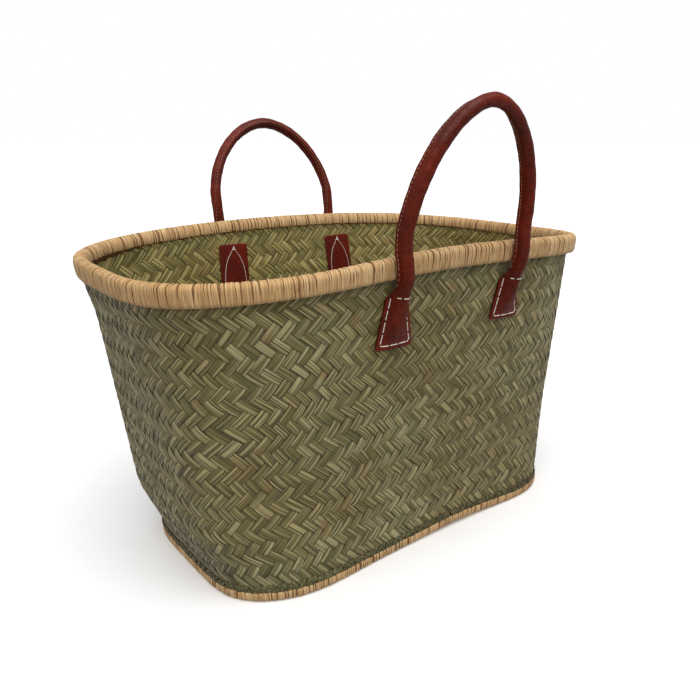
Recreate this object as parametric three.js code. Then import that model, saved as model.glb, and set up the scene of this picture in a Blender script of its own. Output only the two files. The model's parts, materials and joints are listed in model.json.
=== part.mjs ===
// Woven market basket with two rolled leather handles.
//
// Frame: millimetres, +Z up. The origin is on the floor under the middle of the basket.
// +X runs along the length, the front long side faces -Y, the back long side faces +Y.
import * as THREE from 'three';

// ---------- driving sizes ----------

// Mouth, measured over the raffia binding.
const RIM_LENGTH = 494;
const RIM_DEPTH = 305;
const RIM_HEIGHT = 296; // top of the rim at the middle of a long side
const RIM_DIP = 12.4; // how much lower the rim is at the two ends
const RIM_SQUARENESS = 3.53; // superellipse power: 2 is an ellipse, higher is squarer

// Foot, measured over the raffia binding.
const BASE_LENGTH = 412;
const BASE_DEPTH = 227;
const BASE_SQUARENESS = 5;
const WALL_HOLLOW = 0.064; // share of the flare that the wall falls short of a straight slope

// Plait, raffia and cords.
const WALL = 3.2;
const MAT = 2.4;
const RAFFIA = 1.5;
const GAP = 0.3; // between pieces that touch on the real basket
const RIM_BAND = 18; // outer side of the rim binding
const RIM_LIP = 11; // inner side of the rim binding
const RIM_DOME = 6; // height of the rounded top of the rim binding
const RIM_CORNER = 4; // height of the rounding under the outer side
const BUNDLE = 5;
const BUNDLE_HEIGHT = 7.6;
const RIM_CORD_RADIUS = 2.6;
const BASE_BAND = 9.7;
const BASE_LIP = 7.9; // inner side of the foot binding
const BASE_FLOOR = 1.8; // raffia under the foot cord
const BASE_CORD_HEIGHT = 2.9;
const MAT_SKIRT = 2.9; // how far the mat's edge is turned down

// Handles.
const HANDLE_SPACING = 138; // between the two feet of one handle
const HANDLE_SHIFT = 10; // both handles sit this far towards +X
const SLEEVE_RADIUS = 5.2; // grip, outside the leather
const LEG_RADIUS = 4.8; // between the tab and the top of the rim
const LEATHER = 1.6;
const SEAM_HEIGHT = 8.2; // from the sleeve's centre to the edge of its sewn seam
const SEAM_HALF_WIDTH = 1.3;
const HANDLE_LEAN = 12.5; // degrees outwards
const HINGE_DROP = 32; // from the rim's top down to the fold at the tab
const HINGE_RISE = 9.5; // from the rim's top up to the fold over the rim
const HINGE_ROOM = 3.4; // air between the leg's foot and the tab
const GRIP_START = 7.2; // from the upper fold to the end of the grip
const ARCH_POWER = 1.85; // superellipse power of the arch
const SEAM_THREAD = 0.8;

// Leather tabs and patches.
const STITCH_DROP = 34; // from the rim's top down to the seam at the tab's neck
const TAB_LEATHER = 2.2;
const TAB_HEIGHT = 42; // below the seam at the neck
const TAB_TONGUE = 10; // above the seam at the neck
const TAB_WIDTH = 37;
const TAB_NECK = 17;
const TAB_TONGUE_WIDTH = 12;
const TAB_CORNER = 8;
const TAB_THREAD_INSET = 3.2;
const TAB_THREAD = 0.9;
const PATCH_LEATHER = 1.6;
const PATCH_WIDTH = 33;
const PATCH_HEIGHT = 52;
const PATCH_CORNER = 3;
const PATCH_DROP = 25; // from the rim's top down to the patch's upper edge
const PATCH_THREAD = 0.8;
const PATCH_THREAD_RISE = 14;
const PATCH_THREAD_SPREAD = 9;

// Fineness.
const AROUND = 56; // facets round the basket
const ALONG_GRIP = 28;
const ALONG_LEG = 5;
const TUBE_SIDES = 10;
const ROPE_SIDES = 8;

// Each handle's own shape: side is its sign in Y, spread is how far its legs part above the
// feet, straight is the upright stretch above the fold, rise is the height of the arch and
// tuck is how far each end is sewn inwards of its leg.
const HANDLES = [
  { name: 'front', side: -1, spread: 0, straight: 0, rise: 108.5, tuck: { left: 5, right: 0 } },
  { name: 'back', side: 1, spread: 3.5, straight: 10, rise: 84.5, tuck: { left: 0, right: 0 } },
];
const SIDES = [
  { name: 'left', sign: -1 },
  { name: 'right', sign: 1 },
];

// ---------- finishes ----------

const finish = (color, roughness) => new THREE.MeshStandardMaterial({ color, roughness, metalness: 0 });
const FINISHES = {
  palm: () => finish(0x6f6543, 0.85),
  mat: () => finish(0x6a5f3e, 0.88),
  raffia: () => finish(0xa8835a, 0.8),
  grass: () => finish(0x8c7a50, 0.9),
  leather: () => finish(0x55190d, 0.45),
  patch: () => finish(0x5a2415, 0.6),
  rope: () => finish(0xb9a988, 0.9),
  thread: () => finish(0xd9cfbf, 0.7),
};

const basket = new THREE.Group();

function add(name, geometry, material) {
  const mesh = new THREE.Mesh(geometry, material);
  mesh.name = name;
  basket.add(mesh);
  return mesh;
}

// ---------- the wall's surface ----------

const RIM_OVERHANG = BUNDLE + RAFFIA + 2 * GAP; // rim's outer face beyond the wall
const BASE_OVERHANG = RAFFIA + GAP; // foot's outer face beyond the wall

// Half length, half depth and squareness of the wall's outer face at a height.
function wallPlan(height) {
  const rise = height / RIM_HEIGHT;
  const flare = rise - WALL_HOLLOW * rise * (1 - rise);
  const between = THREE.MathUtils.lerp;
  return {
    halfLength: between(BASE_LENGTH / 2 - BASE_OVERHANG, RIM_LENGTH / 2 - RIM_OVERHANG, flare),
    halfDepth: between(BASE_DEPTH / 2 - BASE_OVERHANG, RIM_DEPTH / 2 - RIM_OVERHANG, flare),
    power: between(BASE_SQUARENESS, RIM_SQUARENESS, rise),
  };
}

// The rim dips towards the ends, and the plait below it dips with it, less and less.
const dip = (x, height) => RIM_DIP * ((2 * x) / RIM_LENGTH * (height / RIM_HEIGHT)) ** 2;

// A point at (x, y) on the wall's plan, moved outwards by offset.
function standOff(x, y, height, offset) {
  const { halfLength, halfDepth, power } = wallPlan(height);
  const slopeX = Math.sign(x) * (Math.abs(x) / halfLength) ** (power - 1) / halfLength;
  const slopeY = Math.sign(y) * (Math.abs(y) / halfDepth) ** (power - 1) / halfDepth;
  const scale = offset / Math.hypot(slopeX, slopeY);
  const out = new THREE.Vector3(x + slopeX * scale, y + slopeY * scale, height);
  out.z -= dip(out.x, height);
  return out;
}

// The wall at an angle round the basket.
function wallAtAngle(angle, height, offset) {
  const { halfLength, halfDepth, power } = wallPlan(height);
  const along = Math.cos(angle);
  const across = Math.sin(angle);
  const x = halfLength * Math.sign(along) * Math.abs(along) ** (2 / power);
  const y = halfDepth * Math.sign(across) * Math.abs(across) ** (2 / power);
  return standOff(x, y, height, offset);
}

// The wall at a distance x along a long side.
function wallAtX(x, side, height, offset) {
  const { halfLength, halfDepth, power } = wallPlan(height);
  const y = side * halfDepth * (1 - (Math.abs(x) / halfLength) ** power) ** (1 / power);
  return standOff(x, y, height, offset);
}

// A frame on the wall: X along it, Y up it and Z straight out of it.
function wallFrame(x, side, height, offset) {
  const step = 1;
  const origin = wallAtX(x, side, height, offset);
  const up = wallAtX(x, side, height + step, offset).sub(wallAtX(x, side, height - step, offset));
  const along = wallAtX(x + step, side, height, offset).sub(wallAtX(x - step, side, height, offset));
  up.normalize();
  along.multiplyScalar(-side);
  const out = new THREE.Vector3().crossVectors(along, up).normalize();
  along.crossVectors(up, out);
  return new THREE.Matrix4().makeBasis(along, up, out).setPosition(origin);
}

// How far the wall bends away from a flat piece hung on it, at the piece's lower corners.
function wallBend(x, side, height, width, drop) {
  const toPiece = wallFrame(x, side, height, 0).invert();
  const distances = [-width / 2, 0, width / 2].flatMap((step) => [0, drop].map((down) =>
    Math.abs(wallAtX(x + step, side, height - down, 0).applyMatrix4(toPiece).z)));
  return Math.max(...distances);
}

// ---------- rings round the basket ----------

// Turns a section into a solid that follows the wall. A section point has x, its offset from
// the wall's outer face, y, its height, and reach, 1 at the wall and 0 at the basket's middle.
function ring(section) {
  const spun = section.map((point) => new THREE.Vector2(RIM_LENGTH + point.x, point.y));
  const geometry = new THREE.LatheGeometry(spun, AROUND);
  const position = geometry.getAttribute('position');
  for (let turn = 0; turn <= AROUND; turn += 1) {
    const angle = ((turn % AROUND) / AROUND) * 2 * Math.PI;
    section.forEach(({ x, y, reach = 1 }, index) => {
      const point = wallAtAngle(angle, y, x);
      position.setXYZ(turn * section.length + index, point.x * reach, point.y * reach, reach ? point.z : y);
    });
  }
  return geometry;
}

const closed = (section) => [...section, section[0]];

// Points on part of an ellipse, from one angle to another in degrees.
function arc(x, y, radiusX, radiusY, from, to, steps) {
  return Array.from({ length: steps + 1 }, (_, index) => {
    const angle = THREE.MathUtils.degToRad(THREE.MathUtils.lerp(from, to, index / steps));
    return new THREE.Vector2(x + radiusX * Math.cos(angle), y + radiusY * Math.sin(angle));
  });
}

// A whole ellipse, with no point twice.
const oval = (x, y, radiusX, radiusY, sides) => arc(x, y, radiusX, radiusY, 0, 360, sides).slice(0, -1);

const point = (x, y, reach = 1) => ({ x, y, reach });

const WALL_TOP = RIM_HEIGHT - RAFFIA - 2 * RIM_CORD_RADIUS - 4 * GAP;
const WALL_BOTTOM = BASE_FLOOR + BASE_CORD_HEIGHT + 2 * GAP;

function wallWeave() {
  const rows = 7;
  const heights = Array.from({ length: rows + 1 }, (_, row) =>
    THREE.MathUtils.lerp(WALL_BOTTOM, WALL_TOP, row / rows));
  const outside = heights.map((height) => point(0, height));
  const inside = heights.reverse().map((height) => point(-WALL, height));
  return ring(closed([...outside, ...inside]));
}

function baseMat() {
  const edge = -WALL - GAP;
  const under = WALL_BOTTOM + MAT_SKIRT;
  const top = under + MAT;
  return ring([
    point(edge, under, 0),
    point(edge - MAT, under),
    point(edge - MAT, WALL_BOTTOM),
    point(edge, WALL_BOTTOM),
    point(edge, top - 1),
    point(edge - 1, top),
    point(edge, top, 0),
  ]);
}

// An upside-down channel: a tall outer side with a lip back to the wall, a dome over the
// wall's edge and a short inner side.
function rimBinding() {
  const inner = -WALL - GAP - RAFFIA;
  const halfWidth = (RIM_OVERHANG - inner) / 2;
  const middle = (RIM_OVERHANG + inner) / 2;
  const shoulder = RIM_HEIGHT - RIM_DOME;
  const bottom = RIM_HEIGHT - RIM_BAND;
  const lipBottom = RIM_HEIGHT - RIM_LIP;
  const cornerX = RIM_OVERHANG - 2;
  return ring(closed([
    point(GAP, bottom),
    ...arc(cornerX, bottom + RIM_CORNER, 2, RIM_CORNER, -90, 0, 2),
    ...arc(middle, shoulder, halfWidth, RIM_DOME, 0, 180, 6),
    point(inner, lipBottom),
    point(inner + RAFFIA, lipBottom),
    ...arc(middle, shoulder, halfWidth - RAFFIA, RIM_DOME - RAFFIA, 180, 0, 4),
    ...arc(cornerX, bottom + RIM_CORNER, 2 - RAFFIA, RIM_CORNER - RAFFIA, 0, -90, 1),
    point(GAP, bottom + RAFFIA),
  ]));
}

function rimBundle() {
  const bottom = RIM_HEIGHT - RIM_BAND + RAFFIA + GAP;
  return ring(closed(oval(GAP + BUNDLE / 2, bottom + BUNDLE_HEIGHT / 2, BUNDLE / 2, BUNDLE_HEIGHT / 2, 8)));
}

function rimCord() {
  const middle = (RIM_OVERHANG - WALL - GAP - RAFFIA) / 2;
  const height = RIM_HEIGHT - RAFFIA - 2 * GAP - RIM_CORD_RADIUS;
  return ring(closed(oval(middle, height, RIM_CORD_RADIUS, RIM_CORD_RADIUS, 6)));
}

const FOOT_INNER = -WALL - MAT - 3 * GAP - RAFFIA;
const FOOT_ROUND = 2.3; // rounding under the foot, inwards and up

// A channel open upwards, which holds the cord, the wall's lower edge and the mat's edge.
function baseBinding() {
  return ring(closed([
    ...arc(FOOT_INNER + FOOT_ROUND, FOOT_ROUND, FOOT_ROUND, FOOT_ROUND, 180, 270, 2),
    ...arc(BASE_OVERHANG - FOOT_ROUND, FOOT_ROUND, FOOT_ROUND, FOOT_ROUND, -90, 0, 2),
    point(BASE_OVERHANG, BASE_BAND),
    point(GAP, BASE_BAND),
    point(GAP, BASE_FLOOR),
    point(FOOT_INNER + RAFFIA, BASE_FLOOR),
    point(FOOT_INNER + RAFFIA, BASE_LIP - GAP),
    point(FOOT_INNER, BASE_LIP - GAP),
  ]));
}

function baseCord() {
  const room = GAP - (FOOT_INNER + RAFFIA);
  const middle = GAP - room / 2;
  const height = BASE_FLOOR + GAP + BASE_CORD_HEIGHT / 2;
  return ring(closed(oval(middle, height, room / 2 - GAP, BASE_CORD_HEIGHT / 2, 6)));
}

add('wall_weave', wallWeave(), FINISHES.palm());
add('base_mat', baseMat(), FINISHES.mat());
add('rim_binding', rimBinding(), FINISHES.raffia());
add('rim_bundle', rimBundle(), FINISHES.grass());
add('rim_cord', rimCord(), FINISHES.grass());
add('base_binding', baseBinding(), FINISHES.raffia());
add('base_cord', baseCord(), FINISHES.grass());

// ---------- handles ----------

const LOWER_FOLD_HEIGHT = RIM_HEIGHT - HINGE_DROP;
const UPPER_FOLD_HEIGHT = RIM_HEIGHT + HINGE_RISE;
const LOWER_FOLD_REACH = wallPlan(LOWER_FOLD_HEIGHT).halfDepth
  + GAP + TAB_LEATHER + HINGE_ROOM + LEG_RADIUS;
const UPPER_FOLD_REACH = RIM_DEPTH / 2 + 3 * GAP + LEG_RADIUS;

// A leg goes up and out from the fold at the tab, past the outer side of the rim, to the
// fold above the rim.
function legPath(handle, foot) {
  const bandBottom = RIM_HEIGHT - RIM_BAND;
  const rimReach = wallPlan(bandBottom).halfDepth + RIM_OVERHANG;
  const route = [
    [LOWER_FOLD_REACH, LOWER_FOLD_HEIGHT],
    [rimReach + LEG_RADIUS - GAP, bandBottom],
    [UPPER_FOLD_REACH, bandBottom + RIM_BAND / 2],
    [UPPER_FOLD_REACH, UPPER_FOLD_HEIGHT],
  ];
  const points = route.map(([reach, height]) => {
    const climbed = (height - LOWER_FOLD_HEIGHT) / (UPPER_FOLD_HEIGHT - LOWER_FOLD_HEIGHT);
    const apart = handle.spread * climbed - handle.tuck[foot.name] * (1 - climbed);
    const x = HANDLE_SHIFT + foot.sign * (HANDLE_SPACING / 2 + apart);
    return new THREE.Vector3(x, handle.side * reach, height);
  });
  return new THREE.CatmullRomCurve3(points);
}

// The arch stands in a plane that leans outwards from the upper fold.
class Arch extends THREE.Curve {
  constructor(handle) {
    super();
    this.handle = handle;
    this.halfSpan = HANDLE_SPACING / 2 + handle.spread;
    this.straight = Math.max(handle.straight - GRIP_START, 0);
    this.first = this.straight > 0 ? 0 : Math.asin((GRIP_START / handle.rise) ** (ARCH_POWER / 2));
  }

  // A point in the arch's plane: across from its middle and up from the fold.
  inPlane(across, up, target) {
    const lean = THREE.MathUtils.degToRad(HANDLE_LEAN);
    const reach = UPPER_FOLD_REACH + up * Math.sin(lean);
    const height = UPPER_FOLD_HEIGHT + up * Math.cos(lean);
    return target.set(HANDLE_SHIFT + across, this.handle.side * reach, height);
  }

  getPoint(t, target = new THREE.Vector3()) {
    const { straight, rise } = this.handle;
    const share = this.straight / (this.straight * 2 + Math.PI * this.halfSpan);
    const fromEnd = Math.min(t, 1 - t);
    if (fromEnd < share) {
      const across = t < share ? -this.halfSpan : this.halfSpan;
      return this.inPlane(across, GRIP_START + (this.straight * fromEnd) / share, target);
    }
    const turn = THREE.MathUtils.lerp(Math.PI - this.first, this.first, (t - share) / (1 - 2 * share));
    const across = Math.cos(turn);
    const power = 2 / ARCH_POWER;
    const reach = this.halfSpan * Math.sign(across) * Math.abs(across) ** power;
    return this.inPlane(reach, straight + rise * Math.sin(turn) ** power, target);
  }
}

const polygon = (radius, sides) => {
  const shape = new THREE.Shape();
  shape.setFromPoints(oval(0, 0, radius, radius, sides));
  return shape;
};

const sweep = (shape, path, steps) => new THREE.ExtrudeGeometry(shape, {
  steps, extrudePath: path, bevelEnabled: false,
});

// Round leather with a sewn seam that stands up on one side. inwards is 1 or -1.
function sleeveSection(inwards) {
  const seamStart = THREE.MathUtils.radToDeg(Math.asin(SEAM_HALF_WIDTH / SLEEVE_RADIUS)) + 12;
  const around = arc(0, 0, SLEEVE_RADIUS, SLEEVE_RADIUS, seamStart, 360 - seamStart, TUBE_SIDES);
  const outline = [
    new THREE.Vector2(SEAM_HEIGHT, -SEAM_HALF_WIDTH / 2),
    new THREE.Vector2(SEAM_HEIGHT, SEAM_HALF_WIDTH / 2),
    ...around,
  ];
  const shape = new THREE.Shape();
  shape.setFromPoints(outline.map(({ x, y }) => new THREE.Vector2(y, x * inwards)));
  const bore = new THREE.Path();
  bore.setFromPoints(oval(0, 0, SLEEVE_RADIUS - LEATHER, SLEEVE_RADIUS - LEATHER, ROPE_SIDES));
  shape.holes.push(bore);
  return shape;
}

function legSection() {
  const shape = polygon(LEG_RADIUS, TUBE_SIDES);
  const bore = new THREE.Path();
  bore.setFromPoints(oval(0, 0, LEG_RADIUS - LEATHER, LEG_RADIUS - LEATHER, ROPE_SIDES));
  shape.holes.push(bore);
  return shape;
}

function seamThreadSection(inwards) {
  const near = SEAM_HALF_WIDTH + GAP;
  const from = SEAM_HEIGHT - 2 * SEAM_THREAD;
  const shape = new THREE.Shape();
  const corners = [[near, from], [near + SEAM_THREAD, from], [near + SEAM_THREAD, from + SEAM_THREAD],
    [near, from + SEAM_THREAD]];
  shape.setFromPoints(corners.map(([x, y]) => new THREE.Vector2(x, y * inwards)));
  return shape;
}

// ---------- leather tabs and patches ----------

// A plate drawn in the wall's own plane, x along it and y up it.
const plate = (shape, thickness) => new THREE.ExtrudeGeometry(shape, {
  depth: thickness, bevelEnabled: false, curveSegments: 4,
});

// The tab's outline, drawn inset from its true edge, with y = 0 at the neck's seam. The
// thread's outline has no tongue: its upper run is the neck's seam itself.
function tabOutline(Kind, inset) {
  const half = TAB_WIDTH / 2 - inset;
  const neck = TAB_NECK / 2 - inset;
  const top = Math.min(TAB_THREAD_INSET - inset, 0);
  const tongue = TAB_TONGUE_WIDTH / 2;
  const bottom = -TAB_HEIGHT + inset;
  const corner = TAB_CORNER - inset / 2;
  const outline = new Kind();
  outline.moveTo(-half + corner, bottom);
  outline.lineTo(half - corner, bottom);
  outline.quadraticCurveTo(half, bottom, half - 1, bottom + corner);
  outline.lineTo(neck, top);
  if (inset === 0) {
    outline.lineTo(tongue, TAB_TONGUE);
    outline.lineTo(-tongue, TAB_TONGUE);
  }
  outline.lineTo(-neck, top);
  outline.lineTo(-half + 1, bottom + corner);
  outline.quadraticCurveTo(-half, bottom, -half + corner, bottom);
  return outline;
}

function tabThread() {
  const shape = tabOutline(THREE.Shape, TAB_THREAD_INSET);
  shape.holes.push(tabOutline(THREE.Path, TAB_THREAD_INSET + TAB_THREAD));
  return plate(shape, TAB_THREAD);
}

function roundedRectangle(width, height, corner) {
  const shape = new THREE.Shape();
  shape.moveTo(-width / 2 + corner, -height);
  shape.lineTo(width / 2 - corner, -height);
  shape.quadraticCurveTo(width / 2, -height, width / 2, -height + corner);
  shape.lineTo(width / 2, -corner);
  shape.quadraticCurveTo(width / 2, 0, width / 2 - corner, 0);
  shape.lineTo(-width / 2 + corner, 0);
  shape.quadraticCurveTo(-width / 2, 0, -width / 2, -corner);
  shape.lineTo(-width / 2, -height + corner);
  shape.quadraticCurveTo(-width / 2, -height, -width / 2 + corner, -height);
  return shape;
}

// Two legs of thread that meet at a knot near the patch's upper edge.
function patchThread() {
  const top = -PATCH_CORNER;
  const foot = top - PATCH_THREAD_RISE;
  const spread = PATCH_THREAD_SPREAD / 2;
  const shape = new THREE.Shape();
  shape.moveTo(-PATCH_THREAD, top);
  shape.lineTo(-spread - PATCH_THREAD, foot);
  shape.lineTo(-spread, foot);
  shape.lineTo(0, top - 3 * PATCH_THREAD);
  shape.lineTo(spread, foot);
  shape.lineTo(spread + PATCH_THREAD, foot);
  shape.lineTo(PATCH_THREAD, top);
  return plate(shape, PATCH_THREAD);
}

function sewnEnd(handle, foot) {
  const x = HANDLE_SHIFT + foot.sign * (HANDLE_SPACING / 2 - handle.tuck[foot.name]);
  const label = `${handle.name}_${foot.name}`;
  const seam = RIM_HEIGHT - STITCH_DROP;
  const patchTop = RIM_HEIGHT - PATCH_DROP;
  const tabStandOff = GAP + wallBend(x, handle.side, seam, TAB_WIDTH, TAB_HEIGHT);
  const patchStandOff = GAP + wallBend(x, handle.side, patchTop, PATCH_WIDTH, PATCH_HEIGHT);
  const behindWall = -WALL - patchStandOff - PATCH_LEATHER;

  const tab = add(`${label}_tab`, plate(tabOutline(THREE.Shape, 0), TAB_LEATHER), FINISHES.leather());
  tab.applyMatrix4(wallFrame(x, handle.side, seam, tabStandOff));
  const thread = add(`${label}_tab_thread`, tabThread(), FINISHES.thread());
  thread.applyMatrix4(wallFrame(x, handle.side, seam, tabStandOff + TAB_LEATHER + GAP));

  const patchShape = roundedRectangle(PATCH_WIDTH, PATCH_HEIGHT, PATCH_CORNER);
  const patch = add(`${label}_patch`, plate(patchShape, PATCH_LEATHER), FINISHES.patch());
  patch.applyMatrix4(wallFrame(x, handle.side, patchTop, behindWall));
  const knot = add(`${label}_patch_thread`, patchThread(), FINISHES.thread());
  knot.applyMatrix4(wallFrame(x, handle.side, patchTop, behindWall - GAP - PATCH_THREAD));
}

function leg(handle, foot) {
  const label = `${handle.name}_${foot.name}_leg`;
  const path = legPath(handle, foot);
  const core = polygon(LEG_RADIUS - LEATHER - GAP, ROPE_SIDES);
  add(label, sweep(legSection(), path, ALONG_LEG), FINISHES.leather());
  add(`${label}_rope`, sweep(core, path, ALONG_LEG), FINISHES.rope());
}

function grip(handle) {
  const label = `${handle.name}_grip`;
  const path = new Arch(handle);
  const core = polygon(SLEEVE_RADIUS - LEATHER - GAP, ROPE_SIDES);
  add(label, sweep(sleeveSection(handle.side), path, ALONG_GRIP), FINISHES.leather());
  add(`${label}_rope`, sweep(core, path, ALONG_GRIP), FINISHES.rope());
  add(`${label}_seam`, sweep(seamThreadSection(handle.side), path, ALONG_GRIP), FINISHES.thread());
}

for (const handle of HANDLES) {
  for (const foot of SIDES) {
    sewnEnd(handle, foot);
    leg(handle, foot);
  }
  grip(handle);
}

export default basket;
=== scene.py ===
"""Woven market basket: plaited palm wall, raffia-bound rim and foot, rolled leather handles.

Everything is in metres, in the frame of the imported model: +X runs along the basket, the
front long side faces -Y, +Z is up and the origin is on the floor under the basket's middle.
"""

import json
import logging
import math
from collections.abc import Sequence
from dataclasses import dataclass, field
from enum import Enum

import bpy
import numpy as np
from mathutils import Matrix, Vector

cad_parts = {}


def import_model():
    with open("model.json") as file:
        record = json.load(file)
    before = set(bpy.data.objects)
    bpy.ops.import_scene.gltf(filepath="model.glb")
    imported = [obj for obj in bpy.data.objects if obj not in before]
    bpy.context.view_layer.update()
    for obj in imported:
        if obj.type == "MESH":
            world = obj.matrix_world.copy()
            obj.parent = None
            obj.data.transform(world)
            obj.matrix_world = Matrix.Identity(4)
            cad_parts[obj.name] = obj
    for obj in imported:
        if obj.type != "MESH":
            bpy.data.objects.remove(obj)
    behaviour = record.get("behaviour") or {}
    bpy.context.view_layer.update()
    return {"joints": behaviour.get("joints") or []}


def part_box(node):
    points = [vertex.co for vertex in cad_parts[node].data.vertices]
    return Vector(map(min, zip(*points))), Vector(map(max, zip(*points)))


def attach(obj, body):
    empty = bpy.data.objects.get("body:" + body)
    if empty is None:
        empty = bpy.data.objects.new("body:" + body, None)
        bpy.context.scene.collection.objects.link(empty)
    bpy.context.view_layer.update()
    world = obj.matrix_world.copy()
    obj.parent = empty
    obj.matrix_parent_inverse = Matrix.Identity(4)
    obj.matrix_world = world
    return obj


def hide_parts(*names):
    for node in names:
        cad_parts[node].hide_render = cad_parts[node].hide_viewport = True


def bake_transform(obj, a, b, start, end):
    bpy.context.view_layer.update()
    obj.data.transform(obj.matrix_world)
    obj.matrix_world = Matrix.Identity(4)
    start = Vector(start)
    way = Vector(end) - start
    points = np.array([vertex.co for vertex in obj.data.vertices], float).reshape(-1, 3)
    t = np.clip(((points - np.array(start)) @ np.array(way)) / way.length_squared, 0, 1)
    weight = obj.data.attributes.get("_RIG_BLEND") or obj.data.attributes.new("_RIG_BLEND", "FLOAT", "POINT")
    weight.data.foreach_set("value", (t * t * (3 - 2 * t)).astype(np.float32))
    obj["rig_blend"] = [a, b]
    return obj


LOG = logging.getLogger("basket")
MM = 0.001
PLAN_STEPS = 6000  # steps round the wall's plan, close enough to walk it evenly
GIRTH_STEPS = 400  # steps round the wall when its girth is measured
Tree = bpy.types.NodeTree
Node = bpy.types.Node
Mesh = bpy.types.Mesh
Material = bpy.types.Material
Thing = bpy.types.Object
Socket = bpy.types.NodeSocket
Value = float | Sequence[float] | Socket
FLOAT, INT, VECTOR = "NodeSocketFloat", "NodeSocketInt", "NodeSocketVector"


# ---------------------------------------------------------------- numbers


def smooth(t: np.ndarray) -> np.ndarray:
    """Ease from 0 to 1.

    Args:
        t: Where along the step, in any range.

    Returns:
        The eased share, 0 before the step and 1 after it.
    """
    t = np.clip(t, 0.0, 1.0)
    return t * t * (3.0 - 2.0 * t)


def ramp(values: np.ndarray, span: tuple[float, float]) -> np.ndarray:
    """Ease from 0 at the start of a span to 1 at its end."""
    return smooth((values - span[0]) / (span[1] - span[0]))


def spline(points: np.ndarray, count: int) -> np.ndarray:
    """Run a Catmull-Rom curve through points and space it evenly.

    Args:
        points: The points, one row each.
        count: How many points to return.

    Returns:
        Evenly spaced points on the curve.
    """
    padded = np.vstack([2 * points[0] - points[1], points, 2 * points[-1] - points[-2]])
    t = np.linspace(0.0, 1.0, 24, endpoint=False)[:, None]
    pieces = [
        0.5 * (2 * b + (c - a) * t + (2 * a - 5 * b + 4 * c - d) * t**2 + (3 * b - a - 3 * c + d) * t**3)
        for a, b, c, d in zip(padded, padded[1:], padded[2:], padded[3:])
    ]
    return resample(np.vstack([*pieces, points[-1:]]), count)


def walk(points: np.ndarray) -> np.ndarray:
    """Give how far along a polyline each of its points is."""
    return np.concatenate([[0.0], np.cumsum(np.linalg.norm(np.diff(points, axis=0), axis=1))])


def length_of(points: np.ndarray) -> float:
    """Measure a polyline."""
    return float(np.linalg.norm(np.diff(points, axis=0), axis=1).sum())


def resample(points: np.ndarray, count: int) -> np.ndarray:
    """Space a polyline's points evenly.

    Args:
        points: The polyline, one row a point.
        count: How many points to return.

    Returns:
        The evenly spaced points.
    """
    walked = walk(points)
    at = np.linspace(0.0, walked[-1], count)
    return np.stack([np.interp(at, walked, points[:, k]) for k in range(points.shape[1])], axis=1)


def unit(vectors: np.ndarray) -> np.ndarray:
    """Scale each row to length 1."""
    return vectors / np.maximum(np.linalg.norm(vectors, axis=-1, keepdims=True), 1e-12)


def put(name: str, data: Mesh | bpy.types.Camera | bpy.types.Light) -> Thing:
    """Put an object that shows some data in the scene.

    Args:
        name: The object's name.
        data: Its mesh, camera or light.

    Returns:
        The object, at the origin.
    """
    thing = bpy.data.objects.new(name, data)
    bpy.context.scene.collection.objects.link(thing)
    return thing


def fasten(pieces: Sequence[Thing], slot: str, *nodes: str) -> None:
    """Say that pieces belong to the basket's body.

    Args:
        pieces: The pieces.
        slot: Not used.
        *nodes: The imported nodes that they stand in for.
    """
    for piece in pieces:
        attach(piece, "root")
        if nodes:
            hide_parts(*nodes)


# ---------------------------------------------------------------- the basket's shape


@dataclass(frozen=True)
class Bump:
    """A smooth bump along the basket: its middle, its reach and its size, in millimetres."""

    middle: float
    reach: float
    size: float

    def at(self, x: np.ndarray) -> np.ndarray:
        """Give the bump's height at positions along the basket."""
        return np.exp(-(((x - self.middle) / self.reach) ** 2)) * self.size


@dataclass(frozen=True)
class Settling:
    """How the soft basket has settled out of its regular shape, in millimetres.

    A pair gives where an effect starts to be felt and where it is felt in full, or the other
    way round where the name ends in fades.
    """

    foot_fades: tuple[float, float] = (9.0, 71.0)
    left_end: tuple[float, float] = (105.0, 200.0)
    pull_in: float = 13.0
    back_half: tuple[float, float] = (0.0, 60.0)
    pull_forward: float = 8.0
    front_half: tuple[float, float] = (0.0, 70.0)
    swells: tuple[Bump, ...] = (Bump(-125.0, 60.0, 6.5), Bump(165.0, 50.0, 6.5))
    swell_fades: tuple[float, float] = (0.0, 120.0)
    lift: Bump = Bump(48.0, 55.0, 3.2)
    flare_rises: tuple[float, float] = (225.0, 273.0)
    flare_fades: tuple[float, float] = (280.0, 285.0)
    flare_end: tuple[float, float] = (120.0, 210.0)
    flare: float = 4.6
    mouth_sag: Bump = Bump(-140.0, 85.0, 5.4)
    mouth_front: tuple[float, float] = (-60.0, 40.0)
    mouth_rises: tuple[float, float] = (250.0, 296.0)


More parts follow.
